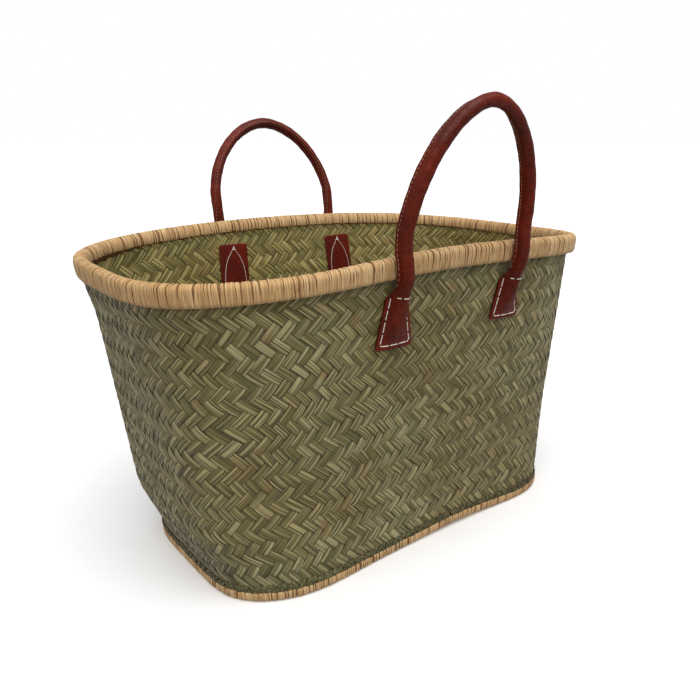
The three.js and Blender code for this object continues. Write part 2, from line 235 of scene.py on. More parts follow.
@dataclass(frozen=True)
class BasketShape:
    """The wall's outer face, which every woven piece follows."""

    rim_length: float
    rim_depth: float
    rim_height: float
    base_length: float
    base_depth: float
    rim_dip: float = 12.4 * MM
    rim_power: float = 3.53
    base_power: float = 5.0
    hollow: float = 0.064
    wall: float = 3.2 * MM
    rim_overhang: float = 7.1 * MM
    base_overhang: float = 1.8 * MM
    settling: Settling = Settling()

    @classmethod
    def from_frame(cls) -> "BasketShape":
        """Read the basket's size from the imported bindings.

        Returns:
            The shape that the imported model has.
        """
        rim_low, rim_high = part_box("rim_binding")
        foot_low, foot_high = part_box("base_binding")
        return cls(
            rim_length=rim_high.x - rim_low.x,
            rim_depth=rim_high.y - rim_low.y,
            rim_height=rim_high.z,
            base_length=foot_high.x - foot_low.x,
            base_depth=foot_high.y - foot_low.y,
        )

    def plan(self, height: float | np.ndarray) -> tuple:
        """Give the plan of the wall's outer face.

        Args:
            height: Height above the floor.

        Returns:
            Half length, half depth and superellipse power.
        """
        rise = height / self.rim_height
        flare = rise - self.hollow * rise * (1 - rise)
        low_x, low_y = self.base_length / 2 - self.base_overhang, self.base_depth / 2 - self.base_overhang
        high_x, high_y = self.rim_length / 2 - self.rim_overhang, self.rim_depth / 2 - self.rim_overhang
        power = self.base_power + (self.rim_power - self.base_power) * rise
        return low_x + (high_x - low_x) * flare, low_y + (high_y - low_y) * flare, power

    def stand_off(self, x: np.ndarray, y: np.ndarray, height: np.ndarray, offset: np.ndarray) -> tuple:
        """Move points on the wall's plan outwards.

        Args:
            x: Positions along the basket.
            y: Positions across it.
            height: Heights above the floor.
            offset: Distances out from the wall's outer face.

        Returns:
            The points, and the level directions straight out of the wall.
        """
        half_length, half_depth, power = self.plan(height)
        slope_x = np.sign(x) * (np.abs(x) / half_length) ** (power - 1) / half_length
        slope_y = np.sign(y) * (np.abs(y) / half_depth) ** (power - 1) / half_depth
        out = unit(np.stack([slope_x, slope_y, np.zeros_like(slope_x)], axis=-1))
        points = np.stack([x, y, np.broadcast_to(height, x.shape)], axis=-1) + out * np.expand_dims(offset, -1)
        sag = (2 * points[..., 0] / self.rim_length * (height / self.rim_height)) ** 2
        points[..., 2] -= self.rim_dip * sag
        return points, out

    def settle(self, points: np.ndarray) -> np.ndarray:
        """Move points the way that the soft basket has settled.

        Args:
            points: Points on or near the wall, the foot or the bottom.

        Returns:
            The points, pulled in under the left end, pushed out along the front and lifted at its middle.
        """
        s = self.settling
        x, y, z = points[..., 0] / MM, points[..., 1] / MM, points[..., 2] / MM
        foot = 1 - ramp(z, s.foot_fades)
        pull = foot * ramp(-x, s.left_end)
        front = ramp(-y, s.front_half)
        flare = ramp(z, s.flare_rises) * (1 - ramp(z, s.flare_fades)) * ramp(-x, s.flare_end)
        swell = sum(bump.at(x) for bump in s.swells) * front * (1 - ramp(z, s.swell_fades))
        moved = points.copy()
        moved[..., 0] += MM * (pull * s.pull_in - flare * s.flare)
        moved[..., 1] -= MM * (pull * ramp(y, s.back_half) * s.pull_forward + swell)
        moved[..., 2] += MM * foot * front * s.lift.at(x)
        return self.sag(moved)

    def sag(self, points: np.ndarray) -> np.ndarray:
        """Lower points near the mouth the way that its front has sagged left of the handle.

        Args:
            points: Points on or near the wall or the rim.

        Returns:
            The points, lower where the front of the mouth sags.
        """
        s = self.settling
        x, y, z = points[..., 0] / MM, points[..., 1] / MM, points[..., 2] / MM
        moved = points.copy()
        moved[..., 2] -= MM * s.mouth_sag.at(x) * ramp(-y, s.mouth_front) * ramp(z, s.mouth_rises)
        return moved

    def ring(self, height: float, shares: np.ndarray, offset: float = 0.0, settled: bool = True) -> tuple:
        """Walk round the wall at one height, evenly by distance.

        Args:
            height: Height above the floor.
            shares: Shares of the way round, from the +X end anticlockwise.
            offset: Distance out from the wall's outer face.
            settled: Whether the basket's own settling counts.

        Returns:
            Points and outward directions.
        """
        half_length, half_depth, power = self.plan(height)
        angle = np.linspace(0.0, math.tau, PLAN_STEPS + 1)
        x, y = (
            half * np.sign(wave) * np.abs(wave) ** (2 / power)
            for half, wave in ((half_length, np.cos(angle)), (half_depth, np.sin(angle)))
        )
        walked = np.concatenate([[0.0], np.cumsum(np.hypot(np.diff(x), np.diff(y)))])
        at = (shares % 1.0) * walked[-1]
        x, y = np.interp(at, walked, x), np.interp(at, walked, y)
        points, out = self.stand_off(x, y, np.full_like(x, height), np.full_like(x, offset))
        return (self.settle(points) if settled else points), out

    def side(self, x: np.ndarray, sign: int, height: np.ndarray, offset: np.ndarray) -> tuple:
        """Find points on a long side of the wall.

        Args:
            x: Positions along the basket.
            sign: -1 for the front side, 1 for the back.
            height: Heights above the floor.
            offset: Distances out from the wall's outer face.

        Returns:
            Points and outward directions.
        """
        half_length, half_depth, power = self.plan(height)
        y = sign * half_depth * (1 - (np.abs(x) / half_length) ** power) ** (1 / power)
        points, out = self.stand_off(x, y, height, offset)
        return self.settle(points), out

    def girth(self, height: float) -> float:
        """Measure the distance round the wall's outer face at a height."""
        points, _ = self.ring(height, np.linspace(0, 1, GIRTH_STEPS, endpoint=False))
        return float(np.linalg.norm(np.roll(points, -1, axis=0) - points, axis=1).sum())


# ---------------------------------------------------------------- node trees


class Nodes:
    """Writes nodes into one tree and joins their sockets."""

    def __init__(self, tree: Tree) -> None:
        """Start on a tree.

        Args:
            tree: The tree to write into.
        """
        self.tree = tree

    @classmethod
    def start(cls, kind: str, name: str, inputs: Sequence[tuple], outputs: Sequence[tuple]) -> tuple:
        """Start a shared tree.

        Args:
            kind: The tree's type name.
            name: Its own name.
            inputs: Name, socket type and default value (or None) of each input.
            outputs: Name and socket type of each output.

        Returns:
            A writer on the tree, and the tree's inputs as sockets.
        """
        tree = bpy.data.node_groups.new(name, kind)
        for label, socket, default in inputs:
            made = tree.interface.new_socket(name=label, in_out="INPUT", socket_type=socket)
            if default is not None:
                made.default_value = default
        for label, socket in outputs:
            tree.interface.new_socket(name=label, in_out="OUTPUT", socket_type=socket)
        writer = cls(tree)
        return writer, writer.add("NodeGroupInput").outputs

    def add(self, kind: str, inputs: dict | None = None, **settings) -> Node:
        """Add a node.

        Args:
            kind: The node's type name.
            inputs: Values or sockets by input name or index.
            **settings: The node's own properties.

        Returns:
            The node.
        """
        node = self.tree.nodes.new(kind)
        for name, value in settings.items():
            setattr(node, name, value)
        for name, value in (inputs or {}).items():
            self.feed(node.inputs[name], value)
        return node

    def feed(self, socket: Socket, value: Value) -> None:
        """Set an input to a constant, or join a socket to it.

        Args:
            socket: The input.
            value: The constant or the socket.
        """
        if isinstance(value, Socket):
            self.tree.links.new(value, socket)
        else:
            socket.default_value = value

    def math(self, operation: str, *values: Value) -> Socket:
        """Add a Math node and return its result."""
        return self.add("ShaderNodeMath", dict(enumerate(values)), operation=operation).outputs[0]

    def times(self, first: Value, second: Value) -> Socket:
        """Multiply two values."""
        return self.math("MULTIPLY", first, second)

    def plus(self, first: Value, second: Value) -> Socket:
        """Add two values."""
        return self.math("ADD", first, second)

    def vector(self, operation: str, *values: Value) -> Socket:
        """Add a Vector Math node.

        Args:
            operation: What it does.
            *values: Its inputs in order; the second one of SCALE is the factor.

        Returns:
            Its vector.
        """
        node = self.add("ShaderNodeVectorMath", operation=operation)
        for index, value in enumerate(values):
            slot = 3 if operation == "SCALE" and index == 1 else index
            self.feed(node.inputs[slot], value)
        return node.outputs[0]

    def attribute(self, name: str, kind: str = "FLOAT_VECTOR") -> Socket:
        """Read a named attribute in a geometry tree."""
        return self.add("GeometryNodeInputNamedAttribute", {"Name": name}, data_type=kind).outputs["Attribute"]

    def split(self, vector: Socket) -> tuple[Socket, Socket, Socket]:
        """Separate a vector into its three parts."""
        node = self.add("ShaderNodeSeparateXYZ", {0: vector})
        return node.outputs[0], node.outputs[1], node.outputs[2]

    def join(self, x: Value = 0.0, y: Value = 0.0, z: Value = 0.0) -> Socket:
        """Combine three values into a vector."""
        return self.add("ShaderNodeCombineXYZ", {0: x, 1: y, 2: z}).outputs[0]


# ---------------------------------------------------------------- ribbons laid on a form


RIBBON_VECTORS = ("start", "run", "side", "size")
RIBBON_NUMBERS = ("lift", "relief", "phase", "turns", "tone")


@dataclass
class Ribbons:
    """Flat strands, each given by where it runs on a form's UV map."""

    vectors: dict[str, list] = field(default_factory=lambda: {key: [] for key in RIBBON_VECTORS})
    numbers: dict[str, list] = field(default_factory=lambda: {key: [] for key in RIBBON_NUMBERS})

    def lay(
        self,
        start: Sequence[float],
        run: Sequence[float],
        side: Sequence[float],
        size: Sequence[float],
        lift: float = 0.0,
        relief: float = 0.0,
        phase: float = 0.0,
        turns: float = 0.0,
        tone: float = 0.5,
    ) -> None:
        """Lay one strand.

        Args:
            start: Where it starts on the UV map.
            run: How far it goes on the UV map.
            side: The way across its whole width on the UV map.
            size: Its length and width in metres.
            lift: How far its middle stands off the form.
            relief: How far it goes over and under.
            phase: Where in the over and under it starts, in radians.
            turns: How many times it goes over and under.
            tone: Its own shade, from 0 to 1.
        """
        number = float(len(self.vectors["start"]) + 1)
        laid = ((*start, 0.0), (*run, 0.0), (*side, 0.0), (*size, number))
        for key, value in zip(RIBBON_VECTORS, laid):
            self.vectors[key].append(value)
        for key, value in zip(RIBBON_NUMBERS, (lift, relief, phase, turns, tone)):
            self.numbers[key].append(value)

    def mesh(self, name: str) -> Mesh:
        """Put each strand's numbers on a vertex of a mesh.

        Args:
            name: The mesh's name.

        Returns:
            The mesh, one loose vertex for each strand.
        """
        mesh = bpy.data.meshes.new(name)
        mesh.vertices.add(len(self.vectors["start"]))
        for key, rows in self.vectors.items():
            layer = mesh.attributes.new(key, "FLOAT_VECTOR", "POINT")
            layer.data.foreach_set("vector", np.array(rows, np.float32).ravel())
        for key, rows in self.numbers.items():
            layer = mesh.attributes.new(key, "FLOAT", "POINT")
            layer.data.foreach_set("value", np.array(rows, np.float32))
        return mesh


def make_form(name: str, points: np.ndarray, outs: np.ndarray, across: np.ndarray, up: np.ndarray) -> Thing:
    """Make a surface that strands can be laid on.

    Args:
        name: The form's name.
        points: Points by row and column.
        outs: Outward directions by row and column.
        across: The U of each column, or of each point.
        up: The V of each row, or of each point.

    Returns:
        The form, with the UV map form_uv and the attribute out.
    """
    rows, columns = points.shape[:2]
    index = np.arange(rows * columns).reshape(rows, columns)
    faces = np.stack([index[:-1, :-1], index[:-1, 1:], index[1:, 1:], index[1:, :-1]], axis=-1).reshape(-1, 4)
    mesh = bpy.data.meshes.new(name)
    mesh.from_pydata(points.reshape(-1, 3).tolist(), [], faces.tolist())
    layer = mesh.attributes.new("out", "FLOAT_VECTOR", "POINT")
    layer.data.foreach_set("vector", unit(outs).astype(np.float32).ravel())
    u, v = np.meshgrid(across, up) if across.ndim == 1 else (across, up)
    uv = np.stack([u.ravel(), v.ravel()], axis=1)[faces.ravel()]
    mesh.uv_layers.new(name="form_uv").data.foreach_set("uv", uv.astype(np.float32).ravel())
    return put(name, mesh)


CRISP_ANGLE = math.radians(50)  # a strand's edges that turn further than this stay sharp
GEOMETRY_OUT = (("Geometry", "NodeSocketGeometry"),)
RIBBON_INPUTS = (
    ("Geometry", "NodeSocketGeometry", None),
    ("Form", "NodeSocketObject", None),
    ("Segments Along", INT, 12),
    ("Segments Across", INT, 3),
    ("Thickness", FLOAT, 0.8 * MM),
    ("Edge Thinning", FLOAT, 0.6),
    ("Camber", FLOAT, 0.0),
    ("Wander", FLOAT, 0.0),
    ("Wander Scale", FLOAT, 6.0),
    ("Width Change", FLOAT, 0.0),
    ("Twist", FLOAT, 0.0),
    ("Lumps", FLOAT, 0.0),
    ("Seed", INT, 1),
    ("Material", "NodeSocketMaterial", None),
)


def ribbon_tree() -> Tree:
    """Write the tree that lays flat strands on a form.

    Returns:
        The tree.
    """
    n, given = Nodes.start("GeometryNodeTree", "ribbons_on_form", RIBBON_INPUTS, GEOMETRY_OUT)
    read = n.attribute
    along = n.plus(given["Segments Along"], 1)
    across = n.plus(given["Segments Across"], 1)
    cube = n.add("GeometryNodeMeshCube", {"Vertices X": along, "Vertices Y": across, "Vertices Z": 2})
    copies = n.add("GeometryNodeInstanceOnPoints", {
        "Points": given["Geometry"], "Instance": cube.outputs["Mesh"],
    })
    strands = n.add("GeometryNodeRealizeInstances", {"Geometry": copies.outputs[0]})

    x, y, z = n.split(n.add("GeometryNodeInputPosition").outputs[0])
    t = n.plus(x, 0.5)
    length, width, number = n.split(read("size"))
    seed = n.times(given["Seed"], 3.17)

    def noise(scale: Value, row: float) -> Socket:
        """Give slow noise about 0 along each strand.

        Args:
            scale: How fast it changes along the strand.
            row: Which row of the noise to read.

        Returns:
            The noise.
        """
        where = n.join(n.times(t, scale), n.times(number, 5.13), n.plus(seed, row))
        fac = n.add("ShaderNodeTexNoise", {"Vector": where, "Scale": 1.0, "Detail": 1.0}).outputs[0]
        return n.math("SUBTRACT", fac, 0.5)

    wander = n.times(noise(given["Wander Scale"], 11.0), given["Wander"])
    wider = n.math("MULTIPLY_ADD", noise(given["Wander Scale"], 23.0), given["Width Change"], 1.0)
    sideways = n.plus(n.times(y, wider), wander)
    run = n.vector("SCALE", read("run"), t)
    side = n.vector("SCALE", read("side"), sideways)
    u, v, _ = n.split(n.vector("ADD", n.vector("ADD", read("start"), run), side))
    spot = n.join(n.math("FRACT", u), n.math("MINIMUM", n.math("MAXIMUM", v, 0.0005), 0.9995))

    seen = n.add("GeometryNodeObjectInfo", {"Object": given["Form"]}, transform_space="ORIGINAL")
    form = seen.outputs["Geometry"]
    form_uv = read("form_uv")

    def sample(value: Socket) -> Socket:
        """Read a value of the form where the strand lies."""
        given_by = {"Mesh": form, "Value": value, "UV Map": form_uv, "Sample UV": spot}
        return n.add("GeometryNodeSampleUVSurface", given_by, data_type="FLOAT_VECTOR").outputs["Value"]

    place = sample(n.add("GeometryNodeInputPosition").outputs[0])
    out = sample(read("out"))

    turn = n.times(n.times(read("turns", "FLOAT"), t), math.tau)
    wave = n.math("SINE", n.plus(turn, read("phase", "FLOAT")))
    squarer = n.times(wave, n.math("MULTIPLY_ADD", n.times(wave, wave), -0.5, 1.5))
    edge = n.times(n.times(y, y), 4.0)
    full = n.math("SUBTRACT", 1.0, n.times(edge, given["Edge Thinning"]))
    terms = (
        read("lift", "FLOAT"),
        n.times(squarer, read("relief", "FLOAT")),
        n.times(n.times(z, given["Thickness"]), full),
        n.times(n.times(edge, given["Camber"]), -1.0),
        n.times(noise(n.times(given["Wander Scale"], 2.3), 37.0), given["Lumps"]),
        n.times(n.times(noise(given["Wander Scale"], 51.0), y), given["Twist"]),
    )
    height = terms[0]
    for term in terms[1:]:
        height = n.plus(height, term)
    point = n.vector("ADD", place, n.vector("SCALE", out, height))

    grain = n.join(n.times(t, length), n.times(y, width), number)
    shape = strands.outputs[0]
    kept = (
        ("grain", grain, "FLOAT_VECTOR"),
        ("face_side", n.times(z, 2.0), "FLOAT"),
        ("edge", n.times(y, 2.0), "FLOAT"),
    )
    for name, value, kind in kept:
        node = n.add("GeometryNodeStoreNamedAttribute", {"Geometry": shape, "Name": name}, data_type=kind)
        n.feed(node.inputs["Value"], value)
        shape = node.outputs[0]
    moved = n.add("GeometryNodeSetPosition", {"Geometry": shape, "Position": point})
    soft = n.add("GeometryNodeSetShadeSmooth", {
        "Geometry": moved.outputs[0], "Shade Smooth": True,
    }, domain="FACE")
    angle = n.add("GeometryNodeInputMeshEdgeAngle").outputs["Unsigned Angle"]
    crisp = n.add("GeometryNodeSetShadeSmooth", {
        "Geometry": soft.outputs[0],
        "Selection": n.math("GREATER_THAN", angle, CRISP_ANGLE),
        "Shade Smooth": False,
    }, domain="EDGE")
    dressed = n.add("GeometryNodeSetMaterial", {"Geometry": crisp.outputs[0], "Material": given["Material"]})
    n.add("NodeGroupOutput", {"Geometry": dressed.outputs[0]})
    return n.tree


STITCH_INPUTS = (
    ("Geometry", "NodeSocketGeometry", None),
    ("Stitch Length", FLOAT, 8.0 * MM),
    ("Thread Radius", FLOAT, 0.45 * MM),
    ("Dip", FLOAT, 0.6 * MM),
    ("Bend", INT, 6),
    ("Sides", INT, 6),
    ("Seed", INT, 1),
    ("Material", "NodeSocketMaterial", None),
)


def stitch_tree() -> Tree:
    """Write the tree that sews a bead of thread at each point.

    Returns:
        The tree.
    """
    n, given = Nodes.start("GeometryNodeTree", "stitches", STITCH_INPUTS, GEOMETRY_OUT)
    half = n.times(given["Stitch Length"], 0.5)
    down = n.times(given["Dip"], -1.0)
    bead = n.add("GeometryNodeCurveQuadraticBezier", {
        "Resolution": given["Bend"],
        "Start": n.join(n.times(half, -1.0), 0.0, down),
        "Middle": n.join(0.0, 0.0, given["Dip"]),
        "End": n.join(half, 0.0, down),
    })
    loop = n.add("GeometryNodeCurvePrimitiveCircle", {
        "Resolution": given["Sides"], "Radius": given["Thread Radius"],
    })
    thread = n.add("GeometryNodeCurveToMesh", {
        "Curve": bead.outputs[0], "Profile Curve": loop.outputs[0], "Fill Caps": True,
    })
    turn = n.add("FunctionNodeAxesToRotation", {
        "Primary Axis": n.attribute("out"), "Secondary Axis": n.attribute("along"),
    }, primary_axis="Z", secondary_axis="X")
    uneven = n.add("FunctionNodeRandomValue", data_type="FLOAT")
    for index, value in ((2, 0.88), (3, 1.08), (8, given["Seed"])):
        n.feed(uneven.inputs[index], value)
    copies = n.add("GeometryNodeInstanceOnPoints", {
        "Points": given["Geometry"], "Instance": thread.outputs[0],
        "Rotation": turn.outputs[0], "Scale": n.join(uneven.outputs[1], 1.0, 1.0),
    })
    real = n.add("GeometryNodeRealizeInstances", {"Geometry": copies.outputs[0]})
    soft = n.add("GeometryNodeSetShadeSmooth", {"Geometry": real.outputs[0], "Shade Smooth": True})
    dressed = n.add("GeometryNodeSetMaterial", {"Geometry": soft.outputs[0], "Material": given["Material"]})
    n.add("NodeGroupOutput", {"Geometry": dressed.outputs[0]})
    return n.tree


def grow(name: str, seed_mesh: Mesh, tree: Tree, values: dict, keep: Sequence[str]) -> Thing:
    """Run a node tree on a mesh and keep the plain mesh it makes.

    Args:
        name: The piece's name.
        seed_mesh: The mesh that the tree starts from.
        tree: The node tree.
        values: The tree's inputs by name.
        keep: The attributes that the materials read; others are taken off.

    Returns:
        The piece, at the origin, with no modifier.
    """
    source = put(name + "_source", seed_mesh)
    modifier = source.modifiers.new("grow", "NODES")
    modifier.node_group = tree
    for item in tree.interface.items_tree:
        if item.in_out == "INPUT" and item.name in values:
            modifier[item.identifier] = values[item.name]
    depsgraph = bpy.context.evaluated_depsgraph_get()
    depsgraph.update()
    mesh = bpy.data.meshes.new_from_object(source.evaluated_get(depsgraph), depsgraph=depsgraph)
    source.modifiers.remove(modifier)
    bpy.data.objects.remove(source)
    mesh.name = name
    own = {"position", "sharp_edge", "sharp_face", "material_index", *keep}
    for attribute in [a.name for a in mesh.attributes if a.name not in own and not a.name.startswith(".")]:
        mesh.attributes.remove(mesh.attributes[attribute])
    return put(name, mesh)


def loft(name: str, rings: np.ndarray, material: Material, closed: bool = False) -> Thing:
    """Skin a row of rings into one closed solid.

    Args:
        name: The piece's name.
        rings: Points by ring and by place in the ring, anticlockwise seen from the last ring.
        material: The finish.
        closed: Whether the last ring meets the first; otherwise both ends are capped.

    Returns:
        The piece, with the attribute grain: metres along, share round and 0.
    """
    count, sides = rings.shape[:2]
    index = np.arange(count * sides).reshape(count, sides)
    lower = index if closed else index[:-1]
    upper = np.roll(index, -1, axis=0) if closed else index[1:]
    quads = np.stack([lower, np.roll(lower, -1, 1), np.roll(upper, -1, 1), upper], axis=-1).reshape(-1, 4)
    points = rings.reshape(-1, 3)
    faces = quads.tolist()
    middles = rings.mean(axis=1)
    if not closed:
        first, last = len(points), len(points) + 1
        points = np.vstack([points, middles[0], middles[-1]])
        faces += [[first, index[0, (k + 1) % sides], index[0, k]] for k in range(sides)]
        faces += [[last, index[-1, k], index[-1, (k + 1) % sides]] for k in range(sides)]
    mesh = bpy.data.meshes.new(name)
    mesh.from_pydata(points.tolist(), [], faces)
    grain = np.zeros((len(points), 3), np.float32)
    grain[: count * sides, 0] = np.repeat(walk(middles), sides)
    grain[: count * sides, 1] = np.tile(np.arange(sides) / sides, count)
    mesh.attributes.new("grain", "FLOAT_VECTOR", "POINT").data.foreach_set("vector", grain.ravel())
    mesh.shade_smooth()
    for cap in mesh.polygons[len(quads):]:
        cap.use_smooth = False
    mesh.materials.append(material)
    return put(name, mesh)


# ---------------------------------------------------------------- finishes


def srgb(red: int, green: int, blue: int) -> tuple[float, float, float, float]:
    """Turn a screen colour, 0 to 255, into the linear colour that shaders take."""
    linear = [((c / 255 + 0.055) / 1.055) ** 2.4 if c > 10 else c / 255 / 12.92 for c in (red, green, blue)]
    return (*linear, 1.0)


class Shader(Nodes):
    """Writes a shader tree."""

    def noise(self, vector: Socket, scale: Value = 1.0, detail: float = 2.0, rough: float = 0.5) -> Socket:
        """Add a Noise texture and return its value."""
        inputs = {"Vector": vector, "Scale": scale, "Detail": detail, "Roughness": rough}
        return self.add("ShaderNodeTexNoise", inputs).outputs[0]

    def remap(
        self, value: Socket, low: float, high: float, to_low: float = 0.0, to_high: float = 1.0
    ) -> Socket:
        """Ease a value from one range into another."""
        inputs = dict(enumerate((value, low, high, to_low, to_high)))
        return self.add("ShaderNodeMapRange", inputs, interpolation_type="SMOOTHSTEP").outputs[0]

    def mix(self, factor: Value, first: Value, second: Value, blend: str = "MIX") -> Socket:
        """Mix two colours."""
        node = self.add("ShaderNodeMix", {0: factor, 6: first, 7: second}, data_type="RGBA", blend_type=blend)
        return node.outputs[2]

    def stretch(self, vector: Socket, x: float, y: float, z: float) -> Socket:
        """Multiply a vector by three numbers."""
        return self.vector("MULTIPLY", vector, (x, y, z))

    def group(self, tree: Tree, values: dict) -> bpy.types.NodeOutputs:
        """Place a shared node group.

        Args:
            tree: The group.
            values: Its inputs by name.

        Returns:
            The group's outputs.
        """
        return self.add("ShaderNodeGroup", values, node_tree=tree).outputs

    def dress(self, shader: Node, height: Socket, strength: float, distance: float, **values: Value) -> None:
        """Feed a shader's inputs, and bump its surface.

        Args:
            shader: The shader.
            height: The height that the bump reads.
            strength: The bump's strength.
            distance: How deep the bump is.
            **values: Values or sockets by input name, with _ for spaces.
        """
        bump = self.add("ShaderNodeBump", {"Strength": strength, "Distance": distance, "Height": height})
        for key, value in {**values, "Normal": bump.outputs[0]}.items():
            self.feed(shader.inputs[key.replace("_", " ")], value)


def new_material(name: str, **constants) -> tuple[Material, Shader, Node]:
    """Start a material.

    Args:
        name: The material's name.
        **constants: Plain values set on the shader itself, by input name with _ for spaces.

    Returns:
        The material, a writer on its tree and its Principled shader.
    """
    material = bpy.data.materials.new(name)
    material.use_nodes = True
    shader = material.node_tree.nodes["Principled BSDF"]
    for key, value in constants.items():
        shader.inputs[key.replace("_", " ")].default_value = value
    return material, Shader(material.node_tree), shader


def fibre_group() -> Tree:
    """Write the shared group that gives a plant fibre its fine lines, streaks and own tone.

    Returns:
        The group. It reads how far along, how far across and which strand a point is on.
    """
    values = ("Line Scale", 2600.0), ("Streak Scale", 600.0), ("Run Scale", 18.0), ("Drift Scale", 45.0)
    s, given = Shader.start(
        "ShaderNodeTree", "plant_fibre",
        [("Grain", VECTOR, None), *((name, FLOAT, value) for name, value in values)],
        [(name, FLOAT) for name in ("Lines", "Streaks", "Tone", "Drift")],
    )
    along, across, number = s.split(given["Grain"])
    run = s.times(along, given["Run Scale"])
    own = s.times(number, 7.31)
    lines = s.noise(s.join(run, s.times(across, given["Line Scale"]), own), detail=2.0, rough=0.6)
    slow = s.times(run, 0.45)
    streaks = s.noise(s.join(slow, s.times(across, given["Streak Scale"]), own), detail=1.0)
    drift = s.noise(s.join(s.times(along, given["Drift Scale"]), own, 3.0), detail=1.0)
    tone = s.add("ShaderNodeTexWhiteNoise", {"W": s.plus(number, 0.37)}, noise_dimensions="1D").outputs[0]
    s.add("NodeGroupOutput", {
        "Lines": s.remap(lines, 0.3, 0.7), "Streaks": s.remap(streaks, 0.32, 0.68), "Tone": tone,
        "Drift": s.remap(drift, 0.3, 0.7),
    })
    return s.tree


def patina_group() -> Tree:
    """Write the shared group that marks handled, sun-yellowed or dusty areas.

    Returns:
        The group, which puts out a broad mask and a fine one.
    """
    s, given = Shader.start(
        "ShaderNodeTree", "patina",
        [("Position", VECTOR, None), ("Broad Scale", FLOAT, 9.0), ("Fine Scale", FLOAT, 160.0)],
        [("Broad", FLOAT), ("Fine", FLOAT)],
    )
    broad = s.noise(given["Position"], given["Broad Scale"], 3.0)
    fine = s.noise(given["Position"], given["Fine Scale"], 4.0)
    s.add("NodeGroupOutput", {"Broad": s.remap(broad, 0.35, 0.65), "Fine": s.remap(fine, 0.35, 0.65)})
    return s.tree


def leather_grain_group() -> Tree:
    """Write the shared group that gives leather its pores, pebbles and creases.

    Returns:
        The group, which puts out a height and a mask of the hollows.
    """
    s, given = Shader.start(
        "ShaderNodeTree", "leather_grain",
        [("Position", VECTOR, None), ("Pebble Scale", FLOAT, 1500.0), ("Crease Scale", FLOAT, 170.0)],
        [("Height", FLOAT), ("Hollows", FLOAT)],
    )
    cells = s.add("ShaderNodeTexVoronoi", {"Vector": given["Position"], "Scale": given["Pebble Scale"]},
                  feature="DISTANCE_TO_EDGE")
    pebbles = s.remap(cells.outputs["Distance"], 0.0, 0.35)
    folds = s.remap(s.noise(given["Position"], given["Crease Scale"], 5.0), 0.3, 0.7)
    height = s.plus(s.times(pebbles, 0.45), s.times(folds, 0.55))
    hollows = s.remap(s.math("SUBTRACT", 1.0, height), 0.35, 0.9)
    s.add("NodeGroupOutput", {"Height": height, "Hollows": hollows})
    return s.tree


@dataclass(frozen=True)
class Groups:
    """The node groups that several finishes share."""

    fibre: Tree
    patina: Tree
    leather: Tree

    @classmethod
    def make(cls) -> "Groups":
        """Build every shared group once."""
        return cls(fibre_group(), patina_group(), leather_grain_group())


@dataclass(frozen=True)
class PlantFinish:
    """Palm leaf or raffia: fine lines along every strand, each strand with its own tone."""

    name: str
    dark: tuple
    body: tuple
    pale: tuple
    streak: tuple
    # groove: the colour of the fine fibre lines, and of the painted shade along each strand's edges
    groove: tuple
    # inside: multiplies the colour of each strand's inner face: the leaf's own inner-side tint, and painted
    # light where it is above 1
    inside: tuple
    line_scale: float = 2600.0
    streak_scale: float = 620.0
    run_scale: float = 18.0
    drift_scale: float = 45.0
    streak_share: float = 0.72
    # edge: where across the strand, from its middle (0) to its edge (1), the painted edge shade begins
    edge: float = 0.75
    bump: float = 0.55
    depth: float = 0.25 * MM
    yellow: float = 0.35

    def material(self, groups: Groups) -> Material:
        """Write the finish.

        Args:
            groups: The shared node groups.

        Returns:
            The material, which reads the strand's grain, edge and face_side attributes.
        """
        material, s, shader = new_material(self.name, Specular_IOR_Level=0.32, Sheen_Weight=0.08)
        grain = s.add("ShaderNodeAttribute", attribute_name="grain").outputs["Vector"]
        edge = s.add("ShaderNodeAttribute", attribute_name="edge").outputs["Fac"]
        face = s.add("ShaderNodeAttribute", attribute_name="face_side").outputs["Fac"]
        place = s.add("ShaderNodeTexCoord").outputs["Object"]
        fibre = s.group(groups.fibre, {
            "Grain": grain, "Line Scale": self.line_scale, "Streak Scale": self.streak_scale,
            "Run Scale": self.run_scale, "Drift Scale": self.drift_scale,
        })
        patina = s.group(groups.patina, {"Position": place})
        tone = s.math("MULTIPLY_ADD", fibre["Tone"], 0.6, s.times(fibre["Drift"], 0.4))
        colour = s.mix(tone, self.dark, self.body)
        colour = s.mix(s.times(s.remap(fibre["Streaks"], 0.35, 0.95), 0.75), colour, self.pale)
        dry = s.times(s.remap(tone, self.streak_share, 1.0), s.remap(fibre["Streaks"], 0.2, 0.7))
        colour = s.mix(s.times(dry, 0.8), colour, self.streak)
        colour = s.mix(s.times(patina["Broad"], self.yellow), colour, self.streak, "SOFT_LIGHT")
        # Painted shade, partly dirty edges: each strand darkens towards its long edges in place of the contact
        # shadow where strands meet; the fine fibre lines take the same groove colour
        rim = s.remap(s.math("ABSOLUTE", edge), self.edge, 1.02)
        lines = s.math("SUBTRACT", 1.0, s.remap(fibre["Lines"], 0.05, 0.5))
        hollow = s.math("MAXIMUM", s.times(lines, 0.62), s.times(rim, 0.8))
        colour = s.mix(hollow, colour, self.groove)
        # Inner faces take the inside tint: partly the leaf's own inner side, partly painted light, as PALM's
        # factors above 1 brighten the basket's inner faces
        colour = s.mix(s.times(s.remap(face, 0.3, -0.3), 0.7), colour, self.inside, "MULTIPLY")
        height = s.math("MULTIPLY_ADD", fibre["Streaks"], 0.6, fibre["Lines"])
        rough = s.remap(fibre["Streaks"], 0.0, 1.0, 0.72, 0.5)
        s.dress(shader, height, self.bump, self.depth, Base_Color=colour, Roughness=rough)
        return material


